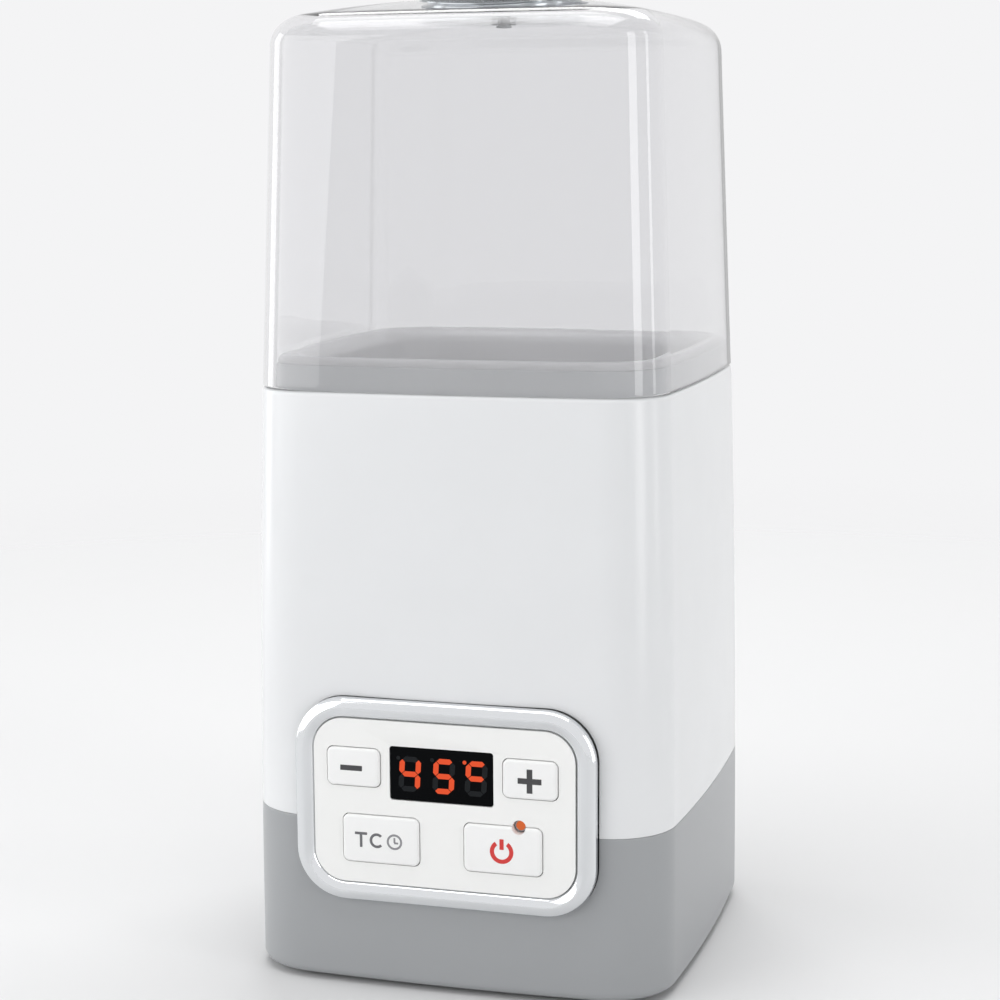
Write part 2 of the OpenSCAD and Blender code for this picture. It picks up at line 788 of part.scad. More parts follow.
// Lens of the pilot light, with a ring round it and a stem back to its diode
module pilot_light() {
    color([0.85, 0.42, 0.22]) {
        upright(fascia_y - lens_proud, board_y) at_key(LENS) circle(d = lens_d);
        upright(fascia_y, fascia_back) at_key(LENS) circle(d = lens_ring_d);
    }
}

// Key cap with a rim behind the fascia and a stem that ends one travel short of its switch
module key_cap(key) {
    stem_end = switch_top - key_travel - seat;
    color([0.96, 0.96, 0.95])
        difference() {
            union() {
                upright(fascia_y - key_proud, fascia_back + key_flange)
                    at_key(key) rounded_rect(key[2], key[3], key_r);
                upright(fascia_back + seat / 2, fascia_back + key_flange)
                    at_key(key)
                        rounded_rect(key[2] + 2 * key_flange, key[3] + 2 * key_flange, key_r + key_flange);
                upright(fascia_back, stem_end) at_key(key) circle(d = stem_d);
            }
            upright(fascia_y - fascia_t, board_y)
                at_key(LENS) circle(d = lens_ring_d + 2 * key_gap);
        }
}

module minus_key() { key_cap(KEYS[0]); }
module plus_key() { key_cap(KEYS[1]); }
module mode_key() { key_cap(KEYS[2]); }
module power_key() { key_cap(KEYS[3]); }

// Tactile switches on the control board, one behind each key
module key_switches() {
    color([0.15, 0.15, 0.16])
        for (key = KEYS) {
            upright(board_y - switch_h * 0.7, board_y)
                at_key(key) square(switch_w, center = true);
            upright(switch_top, board_y) at_key(key) circle(d = switch_w * 0.58);
        }
}

module control_board() {
    color([0.10, 0.32, 0.18])
        difference() {
            union() {
                upright(board_y, board_y + board_t)
                    translate([0, panel_z]) square([board_w, board_h], center = true);
                upright(board_y, board_y + board_t + chip_t)
                    translate([0, panel_z]) square([chip_w, chip_w * 0.6], center = true);
            }
            board_posts(screw_d * 0.55 + 4 * seat, board_y - 1, board_y + board_t + 1);
        }
}

module board_screws() {
    shank = screw_d * 0.55;
    color([0.72, 0.73, 0.75])
        for (x = [-1, 1], z = [-1, 1])
            translate([x * (board_w / 2 - post_inset), board_y + board_t,
                    panel_z + z * (board_h / 2 - post_inset)])
                rotate([-90, 0, 0]) pan_screw(shank, board_screw_l);
}

// ---- Power board and its parts ----
power_board_z = plate_top + pillar_h;
on_board_z = power_board_z + board_t;

module power_board() {
    color([0.42, 0.32, 0.16])
        difference() {
            translate([0, 0, power_board_z + board_t / 2])
                cube([power_board_w, power_board_l, board_t], center = true);
            pillars(pillar_pin_d + 2 * seat, power_board_z - 1, board_t + 2);
        }
}

// Round pillars under the power board, or the pins and holes in line with them
module pillars(d, z, h) {
    for (x = [-1, 1], y = [-1, 1])
        translate([x * (power_board_w / 2 - pillar_inset), y * (power_board_l / 2 - pillar_inset), z])
            cylinder(d = d, h = h);
}

// Laminated core with its winding, lying across the board
module transformer() {
    core_h = transformer_h * 0.72;
    color([0.30, 0.30, 0.32])
        translate([-power_board_w / 4, 0, on_board_z]) {
            translate([-transformer_w / 2, -transformer_h / 4, (transformer_h - core_h) / 2])
                cube([transformer_w, transformer_h / 2, core_h]);
            translate([0, 0, 0])
                linear_extrude(transformer_h)
                    rounded_rect(transformer_w * 0.6, transformer_h * 1.1, transformer_h * 0.15);
        }
}

module relay() {
    color([0.12, 0.20, 0.42])
        translate([power_board_w / 4, -power_board_l / 5, on_board_z])
            linear_extrude(relay_h) rounded_rect(relay_w, relay_h, relay_h * 0.06);
}

// Two electrolytic capacitors with a crimp groove round each can
module capacitors() {
    color([0.14, 0.15, 0.20])
        for (x = [0, 1])
            translate([power_board_w / 4 - capacitor_d * 0.75 + x * capacitor_d * 1.5,
                    power_board_l / 8, on_board_z])
                rotate_extrude()
                    difference() {
                        square([capacitor_d / 2, capacitor_h]);
                        translate([capacitor_d / 2, capacitor_h * 0.12]) circle(capacitor_d * 0.07);
                    }
}

// Two-way screw terminal where the cord's wires are clamped
module wire_terminal() {
    pitch = terminal_h * 0.5;
    color([0.16, 0.45, 0.26])
        translate([0, power_board_l / 2 - terminal_h / 2 - 1, on_board_z])
            difference() {
                translate([-pitch, -terminal_h / 2, 0]) cube([2 * pitch, terminal_h, terminal_h]);
                for (x = [-pitch / 2, pitch / 2])
                    translate([x, 0, terminal_h * 0.3]) {
                        rotate([-90, 0, 0]) cylinder(d = pitch * 0.6, h = terminal_h);
                        cylinder(d = pitch * 0.6, h = terminal_h);
                    }
            }
}

// ---- Bottom ----
module bottom_plate() {
    low = base_z + plate_lift;
    slots = 7;
    pitch = 2.5 * vent_w;
    color([0.55, 0.56, 0.57])
        difference() {
            union() {
                translate([0, 0, low]) linear_extrude(plate_t) polygon(section(mouth_half - seat));
                pillars(pillar_d, plate_top - seat, pillar_h + seat);
                pillars(pillar_pin_d, plate_top, pillar_h + board_t + 0.5);
            }
            four(boss_spacing) {
                translate([0, 0, low - 1]) cylinder(d = screw_d + 2 * seat, h = plate_t + 2);
                translate([0, 0, low - 1]) cylinder(r = screw_d + seat, h = 1 + plate_t / 2);
            }
            four(foot_spacing)
                translate([0, 0, low - 1]) cylinder(d = foot_d + 2 * seat, h = 1 + foot_sink);
            for (i = [0 : slots - 1])
                translate([(i - (slots - 1) / 2) * pitch, 0, low - 1])
                    linear_extrude(plate_t + 2) rounded_rect(vent_w, vent_l, vent_w / 2 - 0.01);
        }
}

module plate_screws() {
    color([0.72, 0.73, 0.75])
        four(boss_spacing)
            translate([0, 0, base_z + plate_lift + plate_t / 2])
                rotate([180, 0, 0]) pan_screw(screw_d, screw_l);
}

// Soft feet with a rounded tread, seated in recesses in the bottom plate
module feet() {
    h = base_z + plate_lift + foot_sink;
    r = foot_d / 2;
    color([0.18, 0.18, 0.19])
        four(foot_spacing)
            rotate_extrude() {
                square([r - foot_round, h]);
                translate([0, foot_round]) square([r, h - foot_round]);
                translate([r - foot_round, foot_round]) circle(foot_round);
            }
}

// ---- Cord inlet ----
module cord_inlet() {
    flange_t = inlet_proud + body_half(inlet_z) - inlet_seat_y;
    inner = inlet_seat_y - inlet_l;
    color([0.55, 0.56, 0.57])
        translate([0, 0, inlet_z]) rotate([-90, 0, 0])
            difference() {
                union() {
                    translate([0, 0, inner]) cylinder(d = inlet_neck_d, h = inlet_l + flange_t);
                    translate([0, 0, inlet_seat_y]) cylinder(d = inlet_d, h = flange_t);
                    translate([0, 0, inner]) cylinder(d = inlet_neck_d + 2, h = inlet_l - wall - 2 * seat);
                }
                translate([0, 0, inner - 1]) cylinder(d = cord_bore_d, h = inlet_l + flange_t + 2);
            }
}

clear_cover();
cover_knob();
knob_screw();
housing();
base_shell();
collar();
well_liner();
heating_foil();
temperature_sensor();
thermal_fuse();
panel_rim();
fascia();
display_window();
led_display();
pilot_light();
minus_key();
plus_key();
mode_key();
power_key();
key_switches();
control_board();
board_screws();
power_board();
transformer();
relay();
capacitors();
wire_terminal();
bottom_plate();
plate_screws();
feet();
cord_inlet();
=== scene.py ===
# %% [markdown]
# # A yogurt maker, dressed
# The solid model already fixes every size, seat and joint of this appliance: a heated well in a
# tapering body, a clear cover that lifts off, and a panel with four keys. This notebook gives it its
# looks. Shells that must shade smoothly are worked out again as surfaces from the same sizes, and the
# solid pieces that are seen as they are only get a finish.

import bmesh
import bpy
import numpy as np
from mathutils import Matrix, Vector


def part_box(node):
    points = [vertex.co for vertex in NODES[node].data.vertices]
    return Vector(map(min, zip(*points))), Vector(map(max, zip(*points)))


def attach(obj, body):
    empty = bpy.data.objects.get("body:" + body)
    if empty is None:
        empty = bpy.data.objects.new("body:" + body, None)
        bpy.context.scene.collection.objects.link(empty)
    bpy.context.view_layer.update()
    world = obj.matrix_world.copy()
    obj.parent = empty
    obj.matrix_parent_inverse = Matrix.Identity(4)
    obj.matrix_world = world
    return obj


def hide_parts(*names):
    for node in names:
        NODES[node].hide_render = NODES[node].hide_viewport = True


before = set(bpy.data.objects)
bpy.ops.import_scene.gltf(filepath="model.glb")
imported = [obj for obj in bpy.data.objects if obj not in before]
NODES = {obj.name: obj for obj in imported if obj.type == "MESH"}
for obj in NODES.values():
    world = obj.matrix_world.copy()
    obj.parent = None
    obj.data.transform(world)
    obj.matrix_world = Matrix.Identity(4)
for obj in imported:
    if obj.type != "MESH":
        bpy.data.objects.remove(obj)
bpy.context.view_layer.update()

# %% [markdown]
# ## Sizes
# Heights and widths are read from the solid pieces, so the looks follow the construction. Only what a
# bounding box can't tell, such as how far a face bows or how round an edge is, is written here.

# %% Sizes shared by the mouldings, in metres
MM = 0.001


def low(node):
    """Lowest corner of a solid piece."""
    return np.array(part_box(node)[0])


def high(node):
    """Highest corner of a solid piece."""
    return np.array(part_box(node)[1])


def middle(node):
    """Middle of a solid piece's box."""
    return (low(node) + high(node)) / 2


FLOOR_W = high("base_shell")[0] - low("base_shell")[0]
SHOULDER_W = 120 * MM
BELLY = 0.6 * MM  # how far a wall swells out of its straight taper at mid height
FACE_BOW = 2.6 * MM  # how far a side bows out between its two corners
CORNER_R = 18 * MM
WALL = 2.4 * MM
BASE_Z = low("base_shell")[2]
SEAM_Z = low("housing")[2]
SHOULDER_Z = high("housing")[2]
print("body %.1f mm wide, shoulder at %.1f mm" % (FLOOR_W / MM, SHOULDER_Z / MM))

# %% [markdown]
# ## One outline for every moulding
# Housing, base, collar, well and cover share one plan: a square whose sides bow out a little and whose
# corners are round. A superellipse would be quicker to write, but its corners are never true arcs and
# its highlights wander. Four long side arcs tangent to four corner arcs give the outline that a
# toolmaker would cut, and every level of every piece is that outline at another size.

# %% The bowed square
CORNER_STEPS = 20
SIDE_STEPS = 16


def bowed_square():
    """Outline of half width 1, counter-clockwise, as an (n, 2) array.
    With bow b and corner radius r, the side arc has radius R = (1 + b^2) / 2b and centre k = 1 - R.
    The corner arc's centre (c, c) lies R - r from (k, 0), and the arcs meet at angle atan(c / (c - k))."""
    b = FACE_BOW / (SHOULDER_W / 2)
    r = CORNER_R / (SHOULDER_W / 2)
    side_r = (1 + b * b) / (2 * b)
    k = 1 - side_r
    c = (2 * k + np.sqrt(4 * k * k - 8 * (k * k - (side_r - r) ** 2))) / 4
    a = np.arctan2(c, c - k)
    side_t = np.linspace(-a, a, SIDE_STEPS, endpoint=False)
    corner_t = np.linspace(a, np.pi / 2 - a, CORNER_STEPS, endpoint=False)
    side = np.stack([k + side_r * np.cos(side_t), side_r * np.sin(side_t)], 1)
    corner = np.stack([c + r * np.cos(corner_t), c + r * np.sin(corner_t)], 1)
    quarters = [np.concatenate([side, corner])]
    quarter_turn = np.array([[0.0, 1.0], [-1.0, 0.0]])
    for _ in range(3):
        quarters.append(quarters[-1] @ quarter_turn)
    return np.concatenate(quarters)


OUTLINE = bowed_square()
print("the outline has", len(OUTLINE), "points")

# %% [markdown]
# ## Grids become meshes
# Each surface is a grid of points: rows climb the outside of the piece and columns run round it
# counter-clockwise, which makes the faces point outwards. A row of points can be closed with a cap,
# and the whole grid can close on itself to make a ring. Creases are kept where faces meet sharply.

# %% From a grid to an object
CREASE = np.radians(38)


def grid_faces(rows, cols, ring=False):
    """Quads of a grid as an (n, 4) array: (row, col), next column, next of both, next row. The last
    column joins the first, and with ring the last row joins the first as well."""
    index = np.arange(rows * cols).reshape(rows, cols)
    here, above = (index, np.roll(index, -1, 0)) if ring else (index[:-1], index[1:])
    quads = [here, np.roll(here, -1, 1), np.roll(above, -1, 1), above]
    return np.stack(quads, -1).reshape(-1, 4)


def solid(grid, ring=False, first_cap=False, last_cap=False):
    """Points and faces of one grid. ring joins the last row to the first, and a cap closes a row with
    one face: the first row's is reversed, so that both caps look outwards."""
    rows, cols = grid.shape[:2]
    faces = grid_faces(rows, cols, ring).tolist()
    if first_cap:
        faces.append(list(range(cols))[::-1])
    if last_cap:
        faces.append([(rows - 1) * cols + i for i in range(cols)])
    return grid.reshape(-1, 3), faces


def make_object(name, parts, outward=False):
    """One object from several (points, faces) parts. outward turns every closed part's faces out."""
    points = np.concatenate([part[0] for part in parts])
    starts = np.cumsum([0] + [len(part[0]) for part in parts])
    faces = [[i + start for i in face] for (_, part), start in zip(parts, starts) for face in part]
    mesh = bpy.data.meshes.new(name)
    mesh.from_pydata(points.tolist(), [], faces)
    if outward:
        work = bmesh.new()
        work.from_mesh(mesh)
        bmesh.ops.recalc_face_normals(work, faces=work.faces)
        work.to_mesh(mesh)
        work.free()
    mesh.shade_smooth()
    mesh.set_sharp_from_angle(angle=CREASE)
    piece = bpy.data.objects.new(name, mesh)
    bpy.context.scene.collection.objects.link(piece)
    return piece


def finish_piece(piece, body, slot, material, *stands_for):
    """Gives a piece its finish, the body it moves with and the solid pieces it stands for."""
    piece.data.materials.clear()
    piece.data.materials.append(material)
    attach(piece, body)
    if stands_for:
        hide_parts(*stands_for)
    print("%-18s %6d faces on %s" % (piece.name, len(piece.data.polygons), body))
    return piece


print("a grid of 3 rows and 4 columns has", len(grid_faces(3, 4)), "faces")

# %% [markdown]
# ## Building a finish
# A finish starts from what the material really is and how its surface was made. Colours are written as
# the usual hex codes, which one function turns to the linear values that a renderer works with, and one
# function adds a node with its settings and its links.

# %% Helpers for finishes
FLOW_SIZE = 30 * MM
GLOSS_DRIFT = 0.08


def linear(code):
    """Linear colour of an sRGB hex code: c/12.92 below 0.04045, else ((c + 0.055)/1.055)^2.4."""
    c = np.array([int(code[i:i + 2], 16) for i in (0, 2, 4)]) / 255
    c = np.where(c <= 0.04045, c / 12.92, ((c + 0.055) / 1.055) ** 2.4)
    return (*c.tolist(), 1.0)


def add(material, kind, settings=None, inputs=None):
    """Adds a node. An input may be a value or the output socket of another node."""
    node = material.node_tree.nodes.new(kind)
    for name, value in (settings or {}).items():
        setattr(node, name, value)
    for name, value in (inputs or {}).items():
        if isinstance(value, bpy.types.NodeSocket):
            material.node_tree.links.new(value, node.inputs[name])
        else:
            node.inputs[name].default_value = value
    return node


def new_material(name):
    """A material with nothing in it but its output."""
    material = bpy.data.materials.new(name)
    material.use_nodes = True
    material.node_tree.nodes.clear()
    add(material, "ShaderNodeOutputMaterial")
    return material


def set_surface(material, shader):
    """Joins a shader to the material's output."""
    output = material.node_tree.nodes["Material Output"]
    material.node_tree.links.new(shader.outputs[0], output.inputs["Surface"])
    return material


def pattern(material, size, detail=2.0):
    """Noise whose features are about size metres across, on the piece's own coordinates."""
    place = add(material, "ShaderNodeTexCoord")
    return add(material, "ShaderNodeTexNoise", inputs={
        "Vector": place.outputs["Object"], "Scale": 1 / size, "Detail": detail})


def moulded(name, code, roughness, grain, relief, drift=0.02, ior=1.54, **more):
    """Moulded plastic: colour that drifts a little over centimetres, as flow in the mould leaves it,
    a skin whose gloss varies a little, and a grain of the given size and relief. The grain of a real
    mould is near 0.1 mm and too fine to show, so the sizes given here are drawn some times coarser."""
    material = new_material(name)
    flow = pattern(material, FLOW_SIZE)
    base = np.array(linear(code)[:3])
    tint = add(material, "ShaderNodeMix", {"data_type": "RGBA"}, {
        "Factor": flow.outputs["Fac"],
        "A": (*(base * (1 - drift)), 1.0), "B": (*np.minimum(base * (1 + drift), 1), 1.0)})
    gloss = add(material, "ShaderNodeMapRange", inputs={
        "Value": flow.outputs["Fac"], "To Min": roughness * (1 - GLOSS_DRIFT),
        "To Max": roughness * (1 + GLOSS_DRIFT)})
    skin = pattern(material, grain)
    bump = add(material, "ShaderNodeBump", inputs={
        "Height": skin.outputs["Fac"], "Distance": relief, "Strength": 1.0})
    shader = add(material, "ShaderNodeBsdfPrincipled", inputs={
        "Base Color": tint.outputs["Result"], "Roughness": gloss.outputs["Result"],
        "Normal": bump.outputs["Normal"], "IOR": ior, **more})
    return set_surface(material, shader)


print("the mid grey 808080 is %.3f in linear light" % linear("808080")[0])

# %% [markdown]
# ## The housing and the base
# The upper moulding is white ABS from a polished mould, and the lower one is grey ABS with a satin
# skin. Each is a wall that tapers, swells a little, rounds over at its free edge and turns back down
# its inside, so each is a ring of levels that closes on itself. The small rounding on both sides of
# the seam is what makes the seam show as a fine line.

# %% Levels of the body
EDGE_STEPS = 6
SEAM_ROUND = 0.3 * MM


def body_half(z):
    """Half width of the body at height z: a straight taper plus a parabola of height BELLY."""
    t = (z - BASE_Z) / (SHOULDER_Z - BASE_Z)
    return FLOOR_W / 2 + (SHOULDER_W - FLOOR_W) / 2 * t + BELLY * 4 * t * (1 - t)


def quarter_round(corner_z, corner_half, r, start, end):
    """Levels along a rounded edge whose sharp corner would be at (corner_z, corner_half).
    Angles run from start to end; 0 points outwards and 90 degrees points up."""
    t = np.radians(np.linspace(start, end, EDGE_STEPS + 1))
    lean_z = np.sign(np.sin(np.radians((start + end) / 2)))
    lean_h = np.sign(np.cos(np.radians((start + end) / 2)))
    return np.stack([corner_z - lean_z * r + r * np.sin(t), corner_half - lean_h * r + r * np.cos(t)], 1)


def levels(*groups):
    """Stacks groups of [height, half width] levels, each a list or an array."""
    return np.concatenate([np.atleast_2d(np.array(group, float)) for group in groups])


def loft(rows, plan=OUTLINE):
    """Grid through [height, half width] levels: each point is the half width times one of the plan's."""
    rings = rows[:, 1, None, None] * plan[None]
    heights = np.broadcast_to(rows[:, 0, None, None], rings.shape[:2] + (1,))
    return np.concatenate([rings, heights], 2)


def wall_levels(z0, z1, inset=0.0, steps=14):
    """Levels up the body's wall from z0 to z1, or down it where z1 is the lower."""
    z = np.linspace(z0, z1, steps)
    return np.stack([z, body_half(z) - inset], 1)


for place, z in (("floor", BASE_Z), ("seam", SEAM_Z), ("shoulder", SHOULDER_Z)):
    print("half width at the %s %.2f mm" % (place, body_half(z) / MM))

# %% [markdown]
# ## An opening across the seam
# The panel sits over the joint of both mouldings, so each has a notch and the two notches make one
# rounded opening. Faces could be left out of the grid, but the edge would then follow the grid. A solid
# of the opening's own outline is subtracted instead, which leaves a clean edge wherever it falls.

# %% Cutting the panel's opening
PANEL_W = 86.6 * MM
PANEL_H = 58 * MM
PANEL_R = 14.5 * MM
PANEL_Z = middle("panel_rim")[2]
PANEL_GAP = 0.05 * MM
CORNER_POINTS = 14


def rounded_path(w, h, r, grow=0.0):
    """Rounded rectangle in the panel's plane as (n, 2) points (across, up) and their outward normals,
    counter-clockwise from the front: four corner arcs joined by straight runs, all moved out by grow."""
    t = np.radians(np.linspace(0, 90, CORNER_POINTS))
    points, normals = [], []
    for turn, (sx, sz) in enumerate([(1, 1), (-1, 1), (-1, -1), (1, -1)]):
        sweep = t + turn * np.pi / 2
        normal = np.stack([np.cos(sweep), np.sin(sweep)], 1)
        points.append([sx * (w / 2 - r), sz * (h / 2 - r)] + (r + grow) * normal)
        normals.append(normal)
    return np.concatenate(points), np.concatenate(normals)


def upright(outline, depths, x=0.0, z=PANEL_Z):
    """Grid of upright outlines: outline is one (n, 2) array or one per depth; depths are y values."""
    depths = np.asarray(depths, float)
    outline = np.broadcast_to(outline, (len(depths),) + np.asarray(outline).shape[-2:])
    grid = np.empty(outline.shape[:2] + (3,))
    grid[..., 0] = outline[..., 0] + x
    grid[..., 1] = depths[:, None]
    grid[..., 2] = outline[..., 1] + z
    return grid


def cut_through(piece, outline, front, back, x=0.0, z=PANEL_Z):
    """Cuts an upright opening of the given outline from depth front to depth back, exactly."""
    cutter = make_object("cutter", [solid(upright(outline, [back, front], x, z), False, True, True)], True)
    cut = piece.modifiers.new("opening", "BOOLEAN")
    cut.object = cutter
    cut.solver = "EXACT"
    bpy.context.view_layer.update()
    shape = bpy.data.meshes.new_from_object(piece.evaluated_get(bpy.context.evaluated_depsgraph_get()))
    piece.modifiers.clear()
    piece.data = shape
    shape.name = piece.name
    bpy.data.objects.remove(cutter)
    shape.shade_smooth()
    shape.set_sharp_from_angle(angle=CREASE)


PANEL_OPENING, _ = rounded_path(PANEL_W, PANEL_H, PANEL_R, PANEL_GAP)
CUT_FRONT = -90 * MM
CUT_BACK = -30 * MM
print("the opening's outline has", len(PANEL_OPENING), "points")

# %% [markdown]
# ## The white moulding
# Its levels run from the seam up the outside, over the shoulder, in along the deck under the collar and
# back down the inside. ABS from a polished mould is bright and almost even, with wide soft highlights
# and only a slow waviness, so its pattern is drawn at 6 mm instead of as a grain.

# %% Housing
SHOULDER_ROUND = 1.2 * MM
DECK_T = 2.5 * MM
DECK_LEDGE = 2.6 * MM  # how far the deck reaches in under the collar's foot
DECK_HALF = high("collar")[0] - DECK_LEDGE

# A wall's own levels keep this far from a rounded edge, so that no two levels cross.
OFF_EDGE = 1 * MM
OFF_ROUND = 2 * MM

white_abs = moulded("white_abs_polished", "E8E9EA", 0.24, 6 * MM, 0.004 * MM)
top_half = body_half(SHOULDER_Z)
housing_levels = levels(
    quarter_round(SEAM_Z, body_half(SEAM_Z), SEAM_ROUND, -90, 0),
    wall_levels(SEAM_Z + OFF_EDGE, SHOULDER_Z - OFF_ROUND),
    quarter_round(SHOULDER_Z, top_half, SHOULDER_ROUND, 0, 90),
    [[SHOULDER_Z, DECK_HALF], [SHOULDER_Z - DECK_T, DECK_HALF], [SHOULDER_Z - DECK_T, top_half - WALL]],
    wall_levels(SHOULDER_Z - DECK_T - OFF_EDGE, SEAM_Z, WALL))
housing = make_object("housing_skin", [solid(loft(housing_levels), ring=True)])
cut_through(housing, PANEL_OPENING, CUT_FRONT, CUT_BACK)
finish_piece(housing, "base", "white_plastic", white_abs, "housing")

# %% [markdown]
# ## The grey moulding
# The base is made in the same way, and ends in a flat rim that the bottom plate is screwed up against.
# Its mould is lightly etched, so the grey looks quieter and duller than the white above it.

# %% Base
FLOOR_ROUND = 2.4 * MM
RIM_FLAT = 1.6 * MM
PLATE_SEAT = 3.1 * MM
PLATE_TOP = BASE_Z + PLATE_SEAT
OFF_FOOT = 3 * MM

grey_abs = moulded("grey_abs_satin", "A0A2A4", 0.3, 0.5 * MM, 0.003 * MM)
foot_half = body_half(BASE_Z)
base_levels = levels(
    quarter_round(BASE_Z, foot_half, FLOOR_ROUND, -90, 0),
    wall_levels(BASE_Z + OFF_FOOT, SEAM_Z - OFF_EDGE),
    quarter_round(SEAM_Z, body_half(SEAM_Z), SEAM_ROUND, 0, 90),
    wall_levels(SEAM_Z, PLATE_TOP + OFF_ROUND, WALL),
    [[PLATE_TOP, foot_half - FLOOR_ROUND - RIM_FLAT], [BASE_Z, foot_half - FLOOR_ROUND - RIM_FLAT]])
base = make_object("base_skin", [solid(loft(base_levels), ring=True)])
cut_through(base, PANEL_OPENING, CUT_FRONT, CUT_BACK)
finish_piece(base, "base", "grey_plastic", grey_abs, "base_shell")

# %% [markdown]
# ## The collar
# The collar centres the cover and closes the gap between the housing and the well. It could be drawn
# as a plain square tube, but the bevel inside its top is where the well's lip sits, so that is one of
# its levels. Polypropylene from a smooth mould gives a faintly waxy, almost white surface.

# %% Collar
COLLAR_EDGE = 0.6 * MM
COLLAR_IN = 52.4 * MM
COLLAR_WALL = 2.1 * MM
COLLAR_TOP = high("collar")[2]
COLLAR_LOW = low("collar")[2]
COLLAR_FOOT = high("collar")[0]
LIP_TOP = high("well_liner")[2]
LIP_HALF = high("well_liner")[0]
LIP_OUTER_ROUND = 1.8 * MM
WELL_W = 100 * MM
LIP_INNER_ROUND = LIP_HALF - LIP_OUTER_ROUND - WELL_W / 2
LINER_CLEAR = 0.6 * MM

collar_pp = moulded("light_grey_polypropylene", "EEF0F1", 0.22, 0.6 * MM, 0.003 * MM)
collar_levels = levels(
    [[SHOULDER_Z, COLLAR_FOOT]],
    quarter_round(COLLAR_TOP, LIP_HALF + COLLAR_EDGE / 2, COLLAR_EDGE, 0, 90),
    [[COLLAR_TOP, WELL_W / 2 + LIP_INNER_ROUND + LINER_CLEAR],
     [LIP_TOP - LIP_INNER_ROUND - LINER_CLEAR, COLLAR_IN], [COLLAR_LOW, COLLAR_IN],
     [COLLAR_LOW, COLLAR_IN + COLLAR_WALL], [SHOULDER_Z, COLLAR_IN + COLLAR_WALL]])
collar = make_object("collar_skin", [solid(loft(collar_levels), ring=True)])
finish_piece(collar, "base", "collar_plastic", collar_pp, "collar")

# %% [markdown]
# ## The well
# The well is one deep pot of pale grey polypropylene whose lip rests on the collar. Lip, wall and floor
# could be three pieces, but it is moulded in one. A single run of levels, from under the floor up the
# outside, over the lip and down to the floor inside, keeps every bend between them smooth.

# %% Well
WELL_FLOOR_W = 93 * MM
LINER_WALL = 1.8 * MM
FLOOR_Z = low("well_liner")[2] + LINER_WALL
WELL_ROUND = 6 * MM
LIP_T = 2.2 * MM


def well_half(z):
    """Half width of the well at height z, a straight draft."""
    return (WELL_FLOOR_W + (WELL_W - WELL_FLOOR_W) * (z - FLOOR_Z) / (LIP_TOP - FLOOR_Z)) / 2


def well_wall(z0, z1, grow=0.0, steps=8):
    """Levels along the well's wall from z0 to z1, moved out by grow."""
    z = np.linspace(z0, z1, steps)
    return np.stack([z, well_half(z) + grow], 1)


liner_pp = moulded("pale_grey_polypropylene", "F6F6F7", 0.2, 0.6 * MM, 0.003 * MM)
bend = WELL_ROUND + LINER_WALL
lip_in = well_half(LIP_TOP)
lip_turn = np.radians(np.linspace(90, 0, 2 * EDGE_STEPS + 1))
lip_levels = np.stack([
    LIP_TOP - LIP_INNER_ROUND + LIP_INNER_ROUND * np.sin(lip_turn),
    lip_in + LIP_INNER_ROUND - LIP_INNER_ROUND * np.cos(lip_turn)], 1)
floor_turn = np.radians(np.linspace(0, 90, 2 * EDGE_STEPS + 1))
floor_levels = np.stack([
    FLOOR_Z + WELL_ROUND - WELL_ROUND * np.sin(floor_turn),
    well_half(FLOOR_Z + WELL_ROUND) - WELL_ROUND + WELL_ROUND * np.cos(floor_turn)], 1)
liner_levels = levels(
    quarter_round(FLOOR_Z - LINER_WALL, well_half(FLOOR_Z) + LINER_WALL, bend, -90, 0),
    well_wall(FLOOR_Z + bend, LIP_TOP - LIP_INNER_ROUND, LINER_WALL),
    [[LIP_TOP - LIP_T, WELL_W / 2 + LIP_INNER_ROUND], [LIP_TOP - LIP_T, LIP_HALF]],
    quarter_round(LIP_TOP, LIP_HALF, LIP_OUTER_ROUND, 0, 90),
    lip_levels,
    well_wall(LIP_TOP - LIP_INNER_ROUND - OFF_ROUND, FLOOR_Z + WELL_ROUND + OFF_ROUND),
    floor_levels)
liner = make_object("well_skin", [solid(loft(liner_levels), False, True, True)])
finish_piece(liner, "base", "liner_plastic", liner_pp, "well_liner")

# %% [markdown]
# ## The clear cover
# The cover is one clear styrene moulding with a wall of its own, so light bends at its outer and its
# inner skin. A single sheet would look like film. The levels run down the inside, round the rim and up
# the outside to the crown. In the middle of the ceiling the bowed square turns into a circle, which
# makes the boss that the knob's screw passes through.

# %% Levels of the cover
COVER_WALL = 2.2 * MM
COVER_FOOT = high("clear_cover")[0]
COVER_H = 107.7 * MM
COVER_DRAFT = 3.3 * MM  # how far each wall leans in over its height, which lets it leave its mould
COVER_TOP_HALF = COVER_FOOT - COVER_DRAFT
COVER_ROUND = 9 * MM
CROWN = 5.2 * MM
RIM_ROUND = 0.7 * MM
COVER_LOW = low("clear_cover")[2]
KNOB_FOOT = low("cover_knob")[2]
SEAT_HALF = 10.3 * MM
COVER_SHOULDER = COVER_LOW + COVER_H - CROWN - COVER_ROUND
APEX = COVER_SHOULDER + COVER_ROUND + CROWN
CROWN_STEPS = 18


def cover_top(inset):
    """Levels over the top of the cover: a rounded edge that ends tangent to the crown, then a parabola
    that rises to the apex, in to the knob's seat."""
    slope = np.arctan(2 * CROWN / (COVER_TOP_HALF - COVER_ROUND))
    t = np.linspace(0, np.pi / 2 - slope, 3 * EDGE_STEPS + 1)
    r = COVER_ROUND - inset
    edge = np.stack([COVER_SHOULDER + r * np.sin(t), COVER_TOP_HALF - inset - r + r * np.cos(t)], 1)
    rim_z, rim_half = edge[-1]
    half = np.linspace(rim_half, SEAT_HALF, CROWN_STEPS + 1)[1:]
    top = APEX - inset
    return np.concatenate([edge, np.stack([top - (top - rim_z) * (half / rim_half) ** 2, half], 1)])


